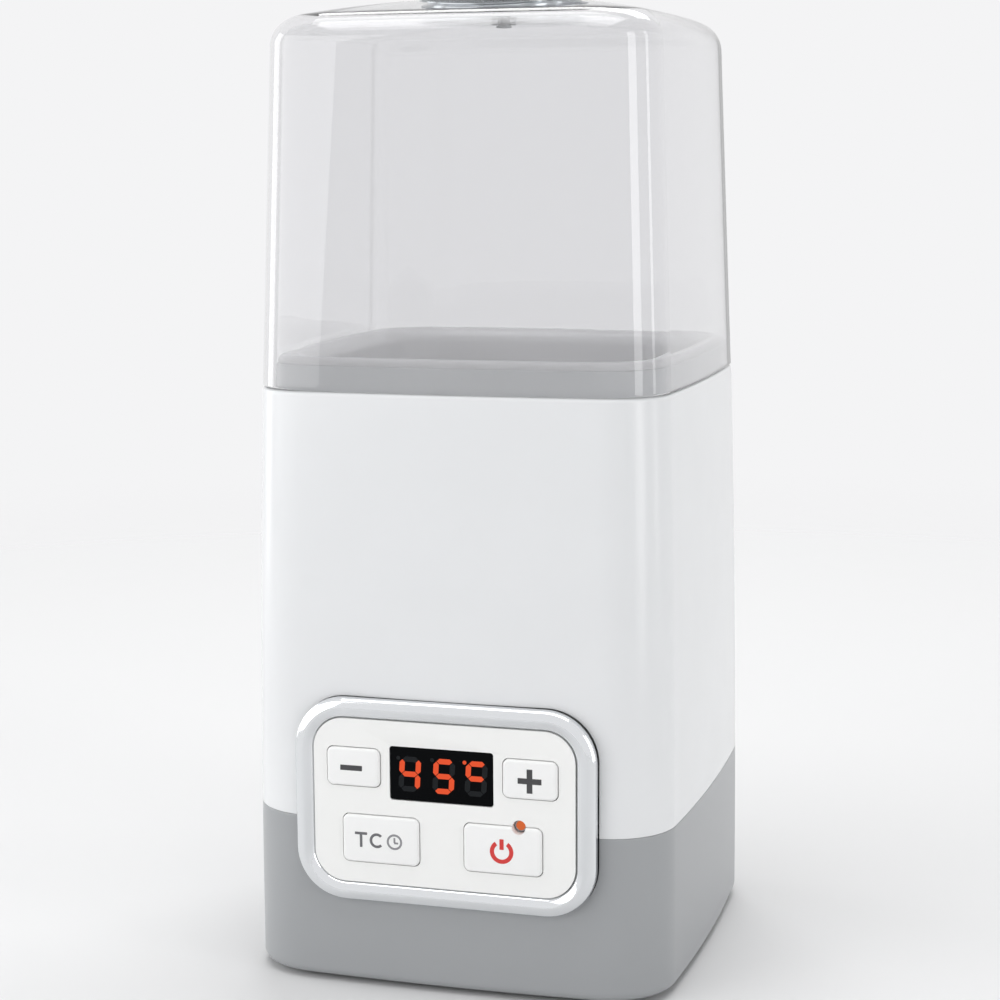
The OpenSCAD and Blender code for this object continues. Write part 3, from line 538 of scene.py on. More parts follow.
def round_plan():
    """The outline's points moved onto a circle of radius 1 at the same angles, (cos a, sin a), so that
    rows of both kinds join up point for point."""
    around = np.arctan2(OUTLINE[:, 1], OUTLINE[:, 0])
    return np.stack([np.cos(around), np.sin(around)], 1)


def cover_wall(inset, z0, z1, steps=12):
    """Levels along the cover's wall, whose half width falls in a straight line from foot to shoulder."""
    z = np.linspace(z0, z1, steps)
    share = (z - COVER_LOW) / (COVER_SHOULDER - COVER_LOW)
    return np.stack([z, COVER_FOOT + (COVER_TOP_HALF - COVER_FOOT) * share - inset], 1)


print("the cover is %.1f mm high and its crown rises %.1f mm" % (COVER_H / MM, CROWN / MM))

# %% The cover's surface
BOSS_R = 3.5 * MM
BOSS_H = 1.4 * MM
BOSS_FILLET = 0.6 * MM

inner_top = cover_top(COVER_WALL)
CEILING_Z = inner_top[-1, 0]
fillet = np.radians(np.linspace(0, 90, EDGE_STEPS + 1))
boss_rows = levels(
    [[CEILING_Z - BOSS_H, BOSS_R]],
    np.stack([CEILING_Z - BOSS_FILLET * (1 - np.sin(fillet)),
              BOSS_R + BOSS_FILLET * (1 - np.cos(fillet))], 1))
rim_turn = np.radians(np.linspace(0, 90, EDGE_STEPS + 1))
rim_inside = np.stack([
    COVER_LOW + RIM_ROUND * (1 - np.sin(rim_turn)),
    COVER_FOOT - COVER_WALL + RIM_ROUND * (1 - np.cos(rim_turn))], 1)
cover_grid = np.concatenate([
    loft(boss_rows, round_plan()),
    loft(inner_top[::-1]),
    loft(cover_wall(COVER_WALL, COVER_SHOULDER - OFF_EDGE, COVER_LOW + OFF_ROUND)),
    loft(rim_inside),
    loft(quarter_round(COVER_LOW, COVER_FOOT, RIM_ROUND, -90, 0)),
    loft(cover_wall(0, COVER_LOW + OFF_ROUND, COVER_SHOULDER - OFF_EDGE)),
    loft(cover_top(0))])
cover = make_object("cover_skin", [solid(cover_grid, False, True, True)])
print("the cover's surface has", cover_grid.shape[0], "rows of", cover_grid.shape[1], "points")

# %% [markdown]
# ## Clear plastic
# A see-through finish could be made by mixing in a transparent shader, but that never bends light.
# Full transmission with the plastic's own refraction does, and the two skins of the wall then show the
# bright and dark lines that make a clear moulding look solid.


# %% The cover's finish
def clear_styrene():
    """Clear styrene-acrylonitrile, refracting 1.57, with a polished skin and a trace of grey tint: it
    gives the eye sharp thin reflections and a faint grey where two walls are seen at once."""
    material = new_material("clear_styrene_acrylonitrile")
    shader = add(material, "ShaderNodeBsdfPrincipled", inputs={
        "Base Color": linear("F1F1F2"), "Roughness": 0.015, "IOR": 1.57, "Transmission Weight": 1.0})
    return set_surface(material, shader)


finish_piece(cover, "cover", "clear_plastic", clear_styrene(), "clear_cover")

# %% [markdown]
# ## Turned pieces
# The knob, the feet, the lens and the cord inlet are round, so each is one profile turned round its
# axis. Sharp corners of a profile are softened first, because even a crisp machined edge has a small
# radius, and that radius is what catches the light.

# %% Profiles and their turning
TURN_STEPS = 96
SOFT_STEPS = 5
SOFT_FROM = 20  # degrees: a corner that turns less is already part of a curve
POLE_R = 0.5 * MM  # a turned piece closes at its axis with a flat cap of this radius


def soften(profile, r, closed=True):
    """Replaces each sharp corner of a profile by the curve start (1 - t)^2 + corner 2t (1 - t) + end t^2,
    which starts and ends r away from the corner, or half the run's length where that is shorter."""
    p = np.asarray(profile, float)
    before, after = np.roll(p, 1, 0) - p, np.roll(p, -1, 0) - p
    run_b, run_a = np.linalg.norm(before, axis=1), np.linalg.norm(after, axis=1)
    turn = np.degrees(np.arccos(np.clip(-(before * after).sum(1) / (run_b * run_a), -1, 1)))
    t = np.linspace(0, 1, SOFT_STEPS)[:, None]
    out = []
    for i, corner in enumerate(p):
        fixed = not closed and i in (0, len(p) - 1)
        if turn[i] < SOFT_FROM or fixed:
            out.append(corner[None])
            continue
        reach = min(r, run_b[i] / 2, run_a[i] / 2)
        start = corner + before[i] / run_b[i] * reach
        end = corner + after[i] / run_a[i] * reach
        out.append(start * (1 - t) ** 2 + corner * 2 * t * (1 - t) + end * t ** 2)
    return np.concatenate(out)


def arc(centre, r, start, end, steps=12):
    """Points of an arc as (n, 2): centre + r (cos a, sin a), with a in degrees from start to end."""
    t = np.radians(np.linspace(start, end, steps + 1))
    return np.stack([centre[0] + r * np.cos(t), centre[1] + r * np.sin(t)], 1)


def turned(profile, centre, axis="z"):
    """Grid of a profile of [radius r, along s] points turned round an upright axis through centre, as
    (r cos a, r sin a, s), or round one that points forwards, along -Y."""
    around = np.linspace(0, 2 * np.pi, TURN_STEPS, endpoint=False)
    circle = np.stack([np.cos(around), np.sin(around), np.zeros(TURN_STEPS)], 1)
    grid = profile[:, 0, None, None] * circle[None] + profile[:, 1, None, None] * np.array([0, 0, 1.0])
    if axis == "forwards":
        grid = grid @ np.array([[1.0, 0, 0], [0, 0, 1.0], [0, -1.0, 0]])
    return grid + np.asarray(centre, float)


print("a square with softened corners has", len(soften([[0, 0], [1, 0], [1, 1], [0, 1]], 0.1)), "points")

# %% [markdown]
# ## The knob
# Such a knob is turned from aluminium bar and anodised: a short spool with a finger groove and a
# slightly dished top. Stacked and bevelled cylinders would do from afar, but the smooth hollow of the
# groove is what bends the reflections, so the whole side is written as arcs that run into each other.

# %% Knob
KNOB_R = high("cover_knob")[0]
KNOB_H = high("cover_knob")[2] - KNOB_FOOT
KNOB_ROUND = 1.6 * MM
KNOB_GROOVE = 2.2 * MM
KNOB_DISH = 0.9 * MM
KNOB_SOFT = 0.25 * MM
HAIR = 0.02 * MM  # the knob's underside keeps this far from its seat, so that the two don't flicker


def knob_profile():
    """Profile from the middle of the underside, out and round the lower edge, in and out of the
    finger groove, over the upper edge and down into the dish, which is an arc of height KNOB_DISH."""
    groove_r = KNOB_H / 2 - KNOB_ROUND
    groove_x = KNOB_R + groove_r - KNOB_GROOVE
    reach = np.degrees(np.arccos((groove_x - KNOB_R) / groove_r))
    dish_half = KNOB_R - 2 * KNOB_ROUND
    dish_r = (dish_half ** 2 + KNOB_DISH ** 2) / (2 * KNOB_DISH)
    dish_turn = np.degrees(np.arcsin(dish_half / dish_r))
    return np.concatenate([
        [[POLE_R, HAIR]],
        arc((KNOB_R - KNOB_ROUND, KNOB_ROUND + HAIR), KNOB_ROUND, -90, 0, 8),
        arc((groove_x, KNOB_H / 2), groove_r, 180 + reach, 180 - reach, 20),
        arc((KNOB_R - KNOB_ROUND, KNOB_H - KNOB_ROUND), KNOB_ROUND, 0, 90, 8),
        arc((0, KNOB_H + dish_r - KNOB_DISH), dish_r, -90 + dish_turn, -90 + 1, 10)])


def turned_aluminium():
    """Anodised aluminium, turned on a lathe: fine rings run round the axis, so highlights stretch
    across them. Real turning marks lie near 0.1 mm apart and wouldn't show, so these are about 0.6 mm."""
    material = new_material("turned_anodised_aluminium")
    place = add(material, "ShaderNodeTexCoord")
    rings = add(material, "ShaderNodeTexWave", {"wave_type": "RINGS", "rings_direction": "Z"}, {
        "Vector": place.outputs["Object"], "Scale": 1 / (2 * MM), "Distortion": 0.4, "Detail": 2.0})
    bump = add(material, "ShaderNodeBump", inputs={
        "Height": rings.outputs["Fac"], "Distance": 0.001 * MM, "Strength": 0.6})
    shader = add(material, "ShaderNodeBsdfPrincipled", inputs={
        "Base Color": linear("B8BCBF"), "Metallic": 1.0, "Roughness": 0.16,
        "Anisotropic": 0.4, "Normal": bump.outputs["Normal"]})
    return set_surface(material, shader)


knob = make_object("knob_turned", [solid(
    turned(soften(knob_profile(), KNOB_SOFT, closed=False), (0, 0, KNOB_FOOT)), False, True, True)])
finish_piece(knob, "cover", "knob_metal", turned_aluminium(), "cover_knob")

# %% [markdown]
# ## The feet
# Four rubber feet keep the appliance from sliding. Each is a short round pad whose tread has a rounded
# edge, turned from one profile and set at the four places. Moulded rubber is nearly black and matt.

# %% Feet
FOOT_SPACING = 80 * MM
FOOT_R = 6.5 * MM
FOOT_H = high("feet")[2]
FOOT_TREAD = 1 * MM

foot_profile = np.concatenate([
    [[POLE_R, 0]], arc((FOOT_R - FOOT_TREAD, FOOT_TREAD), FOOT_TREAD, -90, 0, 6),
    [[FOOT_R, FOOT_H], [POLE_R, FOOT_H]]])
feet = make_object("rubber_feet", [
    solid(turned(foot_profile, (x * FOOT_SPACING / 2, y * FOOT_SPACING / 2, 0)), False, True, True)
    for x in (-1, 1) for y in (-1, 1)])
foot_rubber = moulded("soft_black_rubber", "2A2B2D", 0.6, 0.4 * MM, 0.01 * MM, ior=1.52)
finish_piece(feet, "base", "foot_rubber", foot_rubber, "feet")

# %% [markdown]
# ## The cord inlet
# The cord enters through a flanged bush at the back. Its six-cornered profile is softened and turned
# round an axis that points forwards. Nylon is a little waxier and duller than the base around it.

# %% Cord inlet
INLET_R = 8.5 * MM
INLET_NECK_R = 6 * MM
INLET_BORE_R = 3.5 * MM
INLET_Z = middle("cord_inlet")[2]
INLET_BACK = high("cord_inlet")[1]
INLET_FLANGE = 2 * MM
INLET_SOFT = 0.5 * MM
INLET_L = high("cord_inlet")[1] - low("cord_inlet")[1]
inlet_profile = soften([
    [INLET_BORE_R, 0], [INLET_BORE_R, INLET_L], [INLET_NECK_R, INLET_L], [INLET_NECK_R, INLET_FLANGE],
    [INLET_R, INLET_FLANGE], [INLET_R, 0]], INLET_SOFT)
inlet = make_object("cord_inlet_skin", [
    solid(turned(inlet_profile, (0, INLET_BACK, INLET_Z), "forwards"), ring=True)], True)
inlet_pa = moulded("grey_nylon", "8B8D8F", 0.42, 0.5 * MM, 0.01 * MM, ior=1.53)
finish_piece(inlet, "base", "plate_plastic", inlet_pa, "cord_inlet")

# %% [markdown]
# ## The panel
# A chromed ring frames a white fascia. The ring is one profile carried round a rounded rectangle, with
# a softly crowned crest, since plating follows a polished moulding and shows every change of its slope
# as a band of light and dark. Keys, window and lens lie in openings of the fascia.

# %% Bright rim
RIM_W = 5.7 * MM
RIM_CREST = low("panel_rim")[1]
RIM_EDGE = 1.7 * MM
FASCIA_FRONT = low("fascia")[1]
FASCIA_W = PANEL_W - 2 * RIM_W
FASCIA_H = PANEL_H - 2 * RIM_W
FASCIA_R = PANEL_R - RIM_W
SEAT = 0.15 * MM
CREST_RISE = 0.25 * MM
RIM_SINK = 2 * MM  # how far the ring reaches in behind the fascia's front


def rim_profile():
    """Profile of [outwards from the fascia's edge, depth] points, from the inner edge at the back, up,
    over the crest and down. The crest between the two rounded edges is an arc of height CREST_RISE."""
    x0, x1 = SEAT, RIM_W
    half = (x1 - x0) / 2 - RIM_EDGE
    crown_r = (half ** 2 + CREST_RISE ** 2) / (2 * CREST_RISE)
    lean = np.degrees(np.arcsin(half / crown_r))
    top = -RIM_CREST
    r = RIM_EDGE
    inner = arc((x0 + r, top - CREST_RISE - r), r, 180, 90 + lean, 8)
    crest = arc(((x0 + x1) / 2, top - crown_r), crown_r, 90 + lean, 90 - lean, 8)[1:-1]
    outer = arc((x1 - r, top - CREST_RISE - r), r, 90 - lean, 0, 8)
    back = -FASCIA_FRONT - RIM_SINK
    return np.concatenate([[[x0, back]], inner, crest, outer, [[x1, back]]])


def carried(profile, w, h, r):
    """Grid of a profile carried round a rounded rectangle: point + normal * outwards, then its depth."""
    points, normals = rounded_path(w, h, r)
    flat = points[None] + profile[:, 0, None, None] * normals[None]
    grid = np.empty(flat.shape[:2] + (3,))
    grid[..., 0] = flat[..., 0]
    grid[..., 1] = -profile[:, 1, None]
    grid[..., 2] = flat[..., 1] + PANEL_Z
    return grid


def chrome():
    """Bright nickel-chromium plating on ABS: a mirror whose slight orange peel, waves about 4 mm long
    that plating really has, bends the reflections."""
    material = new_material("bright_chrome_plating")
    peel = pattern(material, 4 * MM, detail=1.0)
    bump = add(material, "ShaderNodeBump", inputs={
        "Height": peel.outputs["Fac"], "Distance": 0.003 * MM, "Strength": 1.0})
    shader = add(material, "ShaderNodeBsdfPrincipled", inputs={
        "Base Color": linear("E6E8EA"), "Metallic": 1.0, "Roughness": 0.07,
        "Normal": bump.outputs["Normal"]})
    return set_surface(material, shader)


rim_grid = carried(rim_profile(), FASCIA_W, FASCIA_H, FASCIA_R)
rim = make_object("rim_plated", [solid(rim_grid, ring=True)], True)
finish_piece(rim, "base", "bright_rim", chrome(), "panel_rim")

# %% [markdown]
# ## The fascia
# The white plate inside the ring has openings for keys, window and lens. The solid piece has them all
# already, so drawing them again would only risk a mismatch. A copy of the solid is merged, its facets
# are joined, and a bevel modifier rounds its edges as a mould does. Satin ABS keeps it calm to read.

# %% Fascia
FASCIA_EDGE = 0.3 * MM
MERGE_WITHIN = 1e-6
FLAT_WITHIN = np.radians(1)
EDGE_FROM = np.radians(40)


def softened_copy(node, name, width):
    """Copy of a solid piece with its facets joined and its edges rounded."""
    piece = NODES[node].copy()
    piece.data = NODES[node].data.copy()
    piece.name = piece.data.name = name
    piece.parent = None
    for key in list(piece.keys()):
        del piece[key]
    bpy.context.scene.collection.objects.link(piece)
    mesh = bmesh.new()
    mesh.from_mesh(piece.data)
    bmesh.ops.remove_doubles(mesh, verts=mesh.verts, dist=MERGE_WITHIN)
    bmesh.ops.dissolve_limit(mesh, angle_limit=FLAT_WITHIN, verts=mesh.verts, edges=mesh.edges)
    mesh.to_mesh(piece.data)
    mesh.free()
    bevel = piece.modifiers.new("rounded edges", "BEVEL")
    bevel.width = width
    bevel.segments = 3
    bevel.limit_method = "ANGLE"
    bevel.angle_limit = EDGE_FROM
    bevel.harden_normals = True
    piece.data.shade_smooth()
    piece.data.set_sharp_from_angle(angle=CREASE)
    return piece


white_panel = moulded("white_abs_satin", "F6F6F4", 0.42, 0.8 * MM, 0.004 * MM, drift=0.01)
fascia = softened_copy("fascia", "fascia_skin", FASCIA_EDGE)
finish_piece(fascia, "base", "fascia_plastic", white_panel, "fascia")

# %% [markdown]
# ## The keys
# A key cap is a small slab with round corners and a rounded front edge, which is where its thin outline
# of shade comes from. A cube with a bevel would need its corners set twice. Here each depth is one
# rounded rectangle, shrunk along a quarter circle. The power key gives way to the pilot light.

# %% Slabs with a rounded front


def slab(w, h, r, x, z, back, front, edge):
    """Upright slab from depth back to front with round corners and a quarter-round front edge: at angle
    t the outline has shrunk by edge (1 - cos t) and stands edge (1 - sin t) behind the front."""
    t = np.radians(np.linspace(0, 90, EDGE_STEPS + 1))
    shrink = np.concatenate([[0], edge * (1 - np.cos(t))])
    depth = np.concatenate([[back], front + edge * (1 - np.sin(t))])
    outlines = []
    for s in shrink:
        outlines.append(rounded_path(w, h, r, -s)[0])
    return solid(upright(np.array(outlines), depth, x, z), False, True, True)


def node_place(node):
    """Sideways place and height of a solid piece's middle."""
    centre = middle(node)
    return centre[0], centre[2]


def round_outline(r, count, centre=(0, 0)):
    """Outline of a full circle as count points, the last of them one step short of the first."""
    return arc(centre, r, 0, 360 - 360 / count, count - 1)


print("a round outline of 24 points ends %.0f degrees round" % (360 - 360 / 24))

# %% Keys
KEY_EDGE = 0.8 * MM
# The same satin ABS as the fascia, a little glossier, so the keys stand out only by their edges.
key_abs = moulded("white_key_abs", "F7F7F6", 0.38, 0.8 * MM, 0.003 * MM, drift=0.01)
# Width and height, then place across and up, in millimetres.
KEY_SIZES = {"minus_key": (15.4, 10.8), "plus_key": (15.4, 10.8), "mode_key": (22.2, 13.5),
             "power_key": (22.2, 13.5)}
KEY_PLACES = {"minus_key": (-25.8, 64.2), "plus_key": (25.0, 64.2), "mode_key": (-18.0, 43.9),
              "power_key": (17.2, 43.9)}
KEY_R = 1.8 * MM
KEY_DEPTH = 2.4 * MM
KEY_BACK = FASCIA_FRONT + KEY_DEPTH
LENS_X, LENS_Z = node_place("pilot_light")
LENS_CLEAR = 1.95 * MM
for node, (w, h) in KEY_SIZES.items():
    x, z = np.array(KEY_PLACES[node]) * MM
    cap = slab(w * MM, h * MM, KEY_R, x, z, KEY_BACK, low(node)[1], KEY_EDGE)
    key = make_object(node + "_cap", [cap], True)
    if node == "power_key":
        notch = round_outline(LENS_CLEAR, 24)
        cut_through(key, notch, low(node)[1] - MM, KEY_BACK + MM, LENS_X, LENS_Z)
    finish_piece(key, node, "key_plastic", key_abs, node)

# %% [markdown]
# ## Printed marks
# The signs on the keys are pad-printed ink. An image could carry them, but it blurs close up, and a
# text object depends on a font. Each is a thin solid drawn from bars and arcs, standing a few hundredths
# of a millimetre proud, and it rides on its key. Ink is matt, and the power sign is the only red one.

# %% Outlines for marks
PRINT_T = 0.03 * MM
PRINT_SINK = 0.02 * MM


def printed(name, outlines, face, x=0.0, z=0.0):
    """Thin solid shapes that stand PRINT_T proud of a front face at depth face. Each outline is an
    (n, 2) array in metres."""
    depths = [face + PRINT_SINK, face - PRINT_T]
    parts = [solid(upright(np.asarray(o, float), depths, x, z), False, True, True) for o in outlines]
    return make_object(name, parts, True)


def bar(w, h, x=0.0, z=0.0, r=0.15 * MM):
    """Outline of a bar with softened corners."""
    return soften(np.array([[-w, -h], [w, -h], [w, h], [-w, h]]) / 2 + [x, z], r)


def ring_mark(r, stroke, start, end, x=0.0, z=0.0, steps=32):
    """Outline of an arc-shaped stroke between two angles: out along radius r + stroke / 2 and back
    along r - stroke / 2. A full ring is drawn as two halves, because one outline can't close on itself."""
    outer = arc((x, z), r + stroke / 2, start, end, steps)
    inner = arc((x, z), r - stroke / 2, end, start, steps)
    return np.concatenate([outer, inner])


def plus_outline(arm, stroke):
    """Outline of a plus sign whose arms reach arm / 2 from its middle and are stroke wide."""
    a, s = arm / 2, stroke / 2
    return [[-a, -s], [-s, -s], [-s, -a], [s, -a], [s, -s], [a, -s],
            [a, s], [s, s], [s, a], [-s, a], [-s, s], [-a, s]]


print("a plus sign has", len(plus_outline(2, 1)), "corners")

# %% Marks on the keys
dark_ink = moulded("dark_grey_ink", "3C3C3E", 0.5, 0.3 * MM, 0.001 * MM)
grey_ink = moulded("mid_grey_ink", "666669", 0.5, 0.3 * MM, 0.001 * MM)
light_ink = moulded("light_grey_ink", "8E8E91", 0.5, 0.3 * MM, 0.001 * MM)
red_ink = moulded("red_ink", "D4322E", 0.5, 0.3 * MM, 0.001 * MM)

KEY_FACE = low("minus_key")[1]
minus_mark = printed("minus_mark", [bar(6.4 * MM, 1.5 * MM)], KEY_FACE, -26.3 * MM, 64.0 * MM)
finish_piece(minus_mark, "minus_key", "key_plastic", dark_ink)

plus_mark = printed("plus_mark", [plus_outline(6.7 * MM, 1.6 * MM)], KEY_FACE, 25.0 * MM, 63.9 * MM)
finish_piece(plus_mark, "plus_key", "key_plastic", dark_ink)

MARK_STROKE = 0.75 * MM
CLOCK_STROKE = MARK_STROKE * 0.8
HAND_STROKE = MARK_STROKE * 0.7
CLOCK_X = 4.6 * MM
mode_shapes = [
    bar(3.6 * MM, MARK_STROKE, -5.2 * MM, 1.8 * MM),
    bar(MARK_STROKE, 3.6 * MM, -5.2 * MM, -0.35 * MM),
    ring_mark(1.75 * MM, MARK_STROKE, 45, 315, -0.55 * MM, 0)]
clock_shapes = [
    ring_mark(1.95 * MM, CLOCK_STROKE, 90, 268, CLOCK_X, 0),
    ring_mark(1.95 * MM, CLOCK_STROKE, -92, 90, CLOCK_X, 0),
    bar(HAND_STROKE, 1.5 * MM, CLOCK_X, 0.5 * MM),
    bar(1.2 * MM, HAND_STROKE, 5.1 * MM, -0.3 * MM)]
mode_mark = printed("mode_mark", mode_shapes, KEY_FACE, -18.5 * MM, 43.7 * MM)
finish_piece(mode_mark, "mode_key", "key_plastic", grey_ink)
clock_mark = printed("clock_mark", clock_shapes, KEY_FACE, -18.5 * MM, 43.7 * MM)
finish_piece(clock_mark, "mode_key", "key_plastic", light_ink)

POWER_STROKE = 1.2 * MM
power_shapes = [
    ring_mark(2.75 * MM, POWER_STROKE, 125, 268, 0, 0),
    ring_mark(2.75 * MM, POWER_STROKE, -92, 55, 0, 0),
    bar(POWER_STROKE, 3.0 * MM, 0, 2.1 * MM)]
power_mark = printed("power_mark", power_shapes, KEY_FACE, 17.0 * MM, 43.5 * MM)
finish_piece(power_mark, "power_key", "key_plastic", red_ink)

# %% [markdown]
# ## The read-out
# A window of black acrylic covers three seven-segment digits. Lit segments glow orange-red, and those
# that are off can just be made out behind the dark pane. The pane could be made see-through over real
# lamps, but it is so dark that segments laid on its face look the same and stay crisp. Such a pane is
# treated against glare, so it and the dark segments hardly mirror the room.

# %% Window
WINDOW_W = 29.6 * MM
WINDOW_H = 15 * MM
WINDOW_X, WINDOW_Z = node_place("display_window")
WINDOW_FACE = low("display_window")[1]
WINDOW_R = 0.75 * MM
WINDOW_EDGE = 0.25 * MM
NO_GLARE = {"Specular IOR Level": 0.06}
black_acrylic = moulded("black_acrylic", "030406", 0.12, 5 * MM, 0.001 * MM, ior=1.49, **NO_GLARE)
pane = make_object("window_pane", [
    slab(WINDOW_W, WINDOW_H, WINDOW_R, WINDOW_X, WINDOW_Z, high("display_window")[1], WINDOW_FACE,
         WINDOW_EDGE)], True)
finish_piece(pane, "base", "window_plastic", black_acrylic, "display_window")

# %% Segments
DIGIT_W = 6.2 * MM
DIGIT_H = 9.9 * MM
SEGMENT_T = 1.5 * MM
SEGMENT_GAP = 0.12 * MM
SLANT = np.tan(np.radians(3.5))
DIGIT_X = [-9.5 * MM, 0.3 * MM, 9.6 * MM]
LIT = ["bcfg", "acdfg", "afg"]


def segment(letter):
    """Outline of one segment, a to g from the top clockwise, as a bar with mitred ends. Upright ones
    are the same bar turned on its side. The digit leans by SLANT."""
    long_w = DIGIT_W - SEGMENT_T - 2 * SEGMENT_GAP
    long_h = DIGIT_H / 2 - SEGMENT_T / 2 - 2 * SEGMENT_GAP
    t = SEGMENT_T / 2
    upright_bar = letter in "bcef"
    half = (long_h if upright_bar else long_w) / 2
    tip = np.array([[-half, 0], [-half + t, -t], [half - t, -t], [half, 0], [half - t, t], [-half + t, t]])
    if upright_bar:
        tip = tip[:, ::-1]
    x = {"b": 1, "c": 1, "e": -1, "f": -1}.get(letter, 0) * (DIGIT_W - SEGMENT_T) / 2
    step = (DIGIT_H - SEGMENT_T) / 2
    z = {"a": 1, "b": 0.5, "c": -0.5, "d": -1, "e": -0.5, "f": 0.5, "g": 0}[letter] * step
    shape = tip + [x, z]
    shape[:, 0] += SLANT * shape[:, 1]
    return shape


lit_shapes, unlit_shapes = [], []
for centre, letters in zip(DIGIT_X, LIT):
    for letter in "abcdefg":
        group = lit_shapes if letter in letters else unlit_shapes
        group.append(segment(letter) + [centre, 0])
DEGREE_R = 0.55 * MM
DEGREE_OFF = 0.2 * MM
for centre, group in zip(DIGIT_X, (unlit_shapes, unlit_shapes, lit_shapes)):
    dot = (centre - DIGIT_W / 2 - DEGREE_OFF, DIGIT_H / 2 - DEGREE_R)
    group.append(round_outline(DEGREE_R, 30, dot))
print(len(lit_shapes), "segments and dots are lit,", len(unlit_shapes), "are dark")


# %% Finishes of the read-out
def glowing(name, code, strength):
    """A lit plastic shape, such as a segment or a lens: almost black by itself, and seen by its own
    light, so its colour stays even and doesn't change with the lamps round it."""
    material = new_material(name)
    shader = add(material, "ShaderNodeBsdfPrincipled", inputs={
        "Base Color": linear("2A100A"), "Roughness": 0.4, "Specular IOR Level": 0.1,
        "Emission Color": linear(code), "Emission Strength": strength})
    return set_surface(material, shader)


READ_OUT_X = WINDOW_X + 0.4 * MM
lit = printed("lit_segments", lit_shapes, WINDOW_FACE, READ_OUT_X, WINDOW_Z)
finish_piece(lit, "base", "display_module", glowing("lit_orange_segment", "E8542E", 0.95))
unlit = printed("unlit_segments", unlit_shapes, WINDOW_FACE, READ_OUT_X, WINDOW_Z)
unlit_finish = moulded("unlit_segment", "202224", 0.4, 1 * MM, 0.001 * MM, **NO_GLARE)
finish_piece(unlit, "base", "display_module", unlit_finish)

# %% [markdown]
# ## The pilot light
# A small domed lens shows that the heater is on. It stands in a grey ring at the power key's upper edge.
# A squashed ball would do for the lens, but its skirt has to reach back through the fascia, so dome and
# skirt are one turned profile. The ring round it is softened, which gives it a fine light edge.

# %% Pilot light
LENS_FRONT = low("pilot_light")[1]
LENS_R = 1.3 * MM
RING_R = 1.75 * MM
LENS_DEPTH = 2 * MM
LENS_DOME = 0.5 * MM
RING_L = 1.75 * MM
RING_SOFT = 0.2 * MM
FORWARDS = [1, -1]  # turns a profile that is written from back to front towards the viewer
lens_back = LENS_FRONT + LENS_DEPTH
lens_place = (LENS_X, lens_back, LENS_Z)

# The dome is a flattened quarter circle, (r cos t, dome sin t), that stops just short of the axis.
dome_turn = np.linspace(0, np.radians(88), 9)
lens_profile = np.stack([LENS_R * np.cos(dome_turn), LENS_DOME * np.sin(dome_turn)], 1)
lens_profile[:, 1] += LENS_DEPTH - LENS_DOME
lens_grid = turned(np.concatenate([[[LENS_R, 0]], lens_profile]) * FORWARDS, lens_place, "forwards")
lens = make_object("pilot_lens", [solid(lens_grid, False, True, True)], True)
finish_piece(lens, "base", "lens_plastic", glowing("orange_lens", "D96A38", 0.9), "pilot_light")
ring_profile = soften([[LENS_R, 0], [RING_R, 0], [RING_R, RING_L], [LENS_R, RING_L]], RING_SOFT)
ring_grid = turned(ring_profile * FORWARDS, lens_place, "forwards")
bezel = make_object("pilot_ring", [solid(ring_grid, ring=True)], True)
finish_piece(bezel, "base", "lens_plastic", moulded("grey_ring", "9A9C9F", 0.35, 0.5 * MM, 0.001 * MM))

# %% [markdown]
# ## Pieces that keep their solid form
# Screws, boards and their parts, the foil and the plate under the base are seen as they were built,
# so they only get the finish of what they are made of. Plated steel and foil are bright and a little
# scuffed, nylon and sleeves are dull, and solder mask is a satin green. Most are hidden in the body, so
# their patterns stay simple, and grains finer than 1 mm are drawn at about 1 mm.

# %% Finishes for the solid pieces
SCUFFED = (0.8, 1.3)  # the least and the most that handling changes a metal's roughness


def metal(name, code, roughness, grain):
    """Plain metal with faint handling marks in its gloss, which keep it from looking like a mirror."""
    material = new_material(name)
    marks = pattern(material, grain)
    gloss = add(material, "ShaderNodeMapRange", inputs={
        "Value": marks.outputs["Fac"], "To Min": roughness * SCUFFED[0], "To Max": roughness * SCUFFED[1]})
    shader = add(material, "ShaderNodeBsdfPrincipled", inputs={
        "Base Color": linear(code), "Metallic": 1.0, "Roughness": gloss.outputs["Result"]})
    return set_surface(material, shader)


SOLID_FINISHES = {
    "knob_screw": metal("zinc_plated_steel", "A9ABAD", 0.3, 2 * MM),
    "board_screws": metal("small_zinc_screw", "A9ABAD", 0.3, 2 * MM),
    "plate_screws": metal("case_screw_zinc", "A9ABAD", 0.3, 2 * MM),
    "heating_foil": metal("aluminium_foil", "C9CBCB", 0.35, 4 * MM),
    "temperature_sensor": metal("nickel_cup", "8E9092", 0.35, 3 * MM),
    "thermal_fuse": moulded("fuse_sleeve", "DAD6C8", 0.5, 1 * MM, 0.01 * MM),
    "led_display": moulded("display_epoxy", "1B1C1E", 0.4, 1 * MM, 0.004 * MM),
    "key_switches": moulded("black_switch_nylon", "1D1D1F", 0.45, 1 * MM, 0.004 * MM),
    "control_board": moulded("green_solder_mask", "1B5A34", 0.35, 1 * MM, 0.004 * MM),
    "power_board": moulded("paper_laminate", "8A6A3C", 0.55, 1 * MM, 0.004 * MM),
    "transformer": metal("silicon_steel_core", "55575A", 0.5, 1 * MM),
    "relay": moulded("blue_relay_case", "2B4A86", 0.4, 1 * MM, 0.004 * MM),
    "capacitors": moulded("capacitor_sleeve", "24262F", 0.35, 1 * MM, 0.004 * MM),
    "wire_terminal": moulded("green_terminal_nylon", "2F7A45", 0.45, 1 * MM, 0.004 * MM),
    "bottom_plate": moulded("plate_abs", "8B8D8F", 0.5, 0.6 * MM, 0.02 * MM),
}
for node, material in SOLID_FINISHES.items():
    mesh = NODES[node].data
    mesh.materials.clear()
    mesh.materials.append(material)
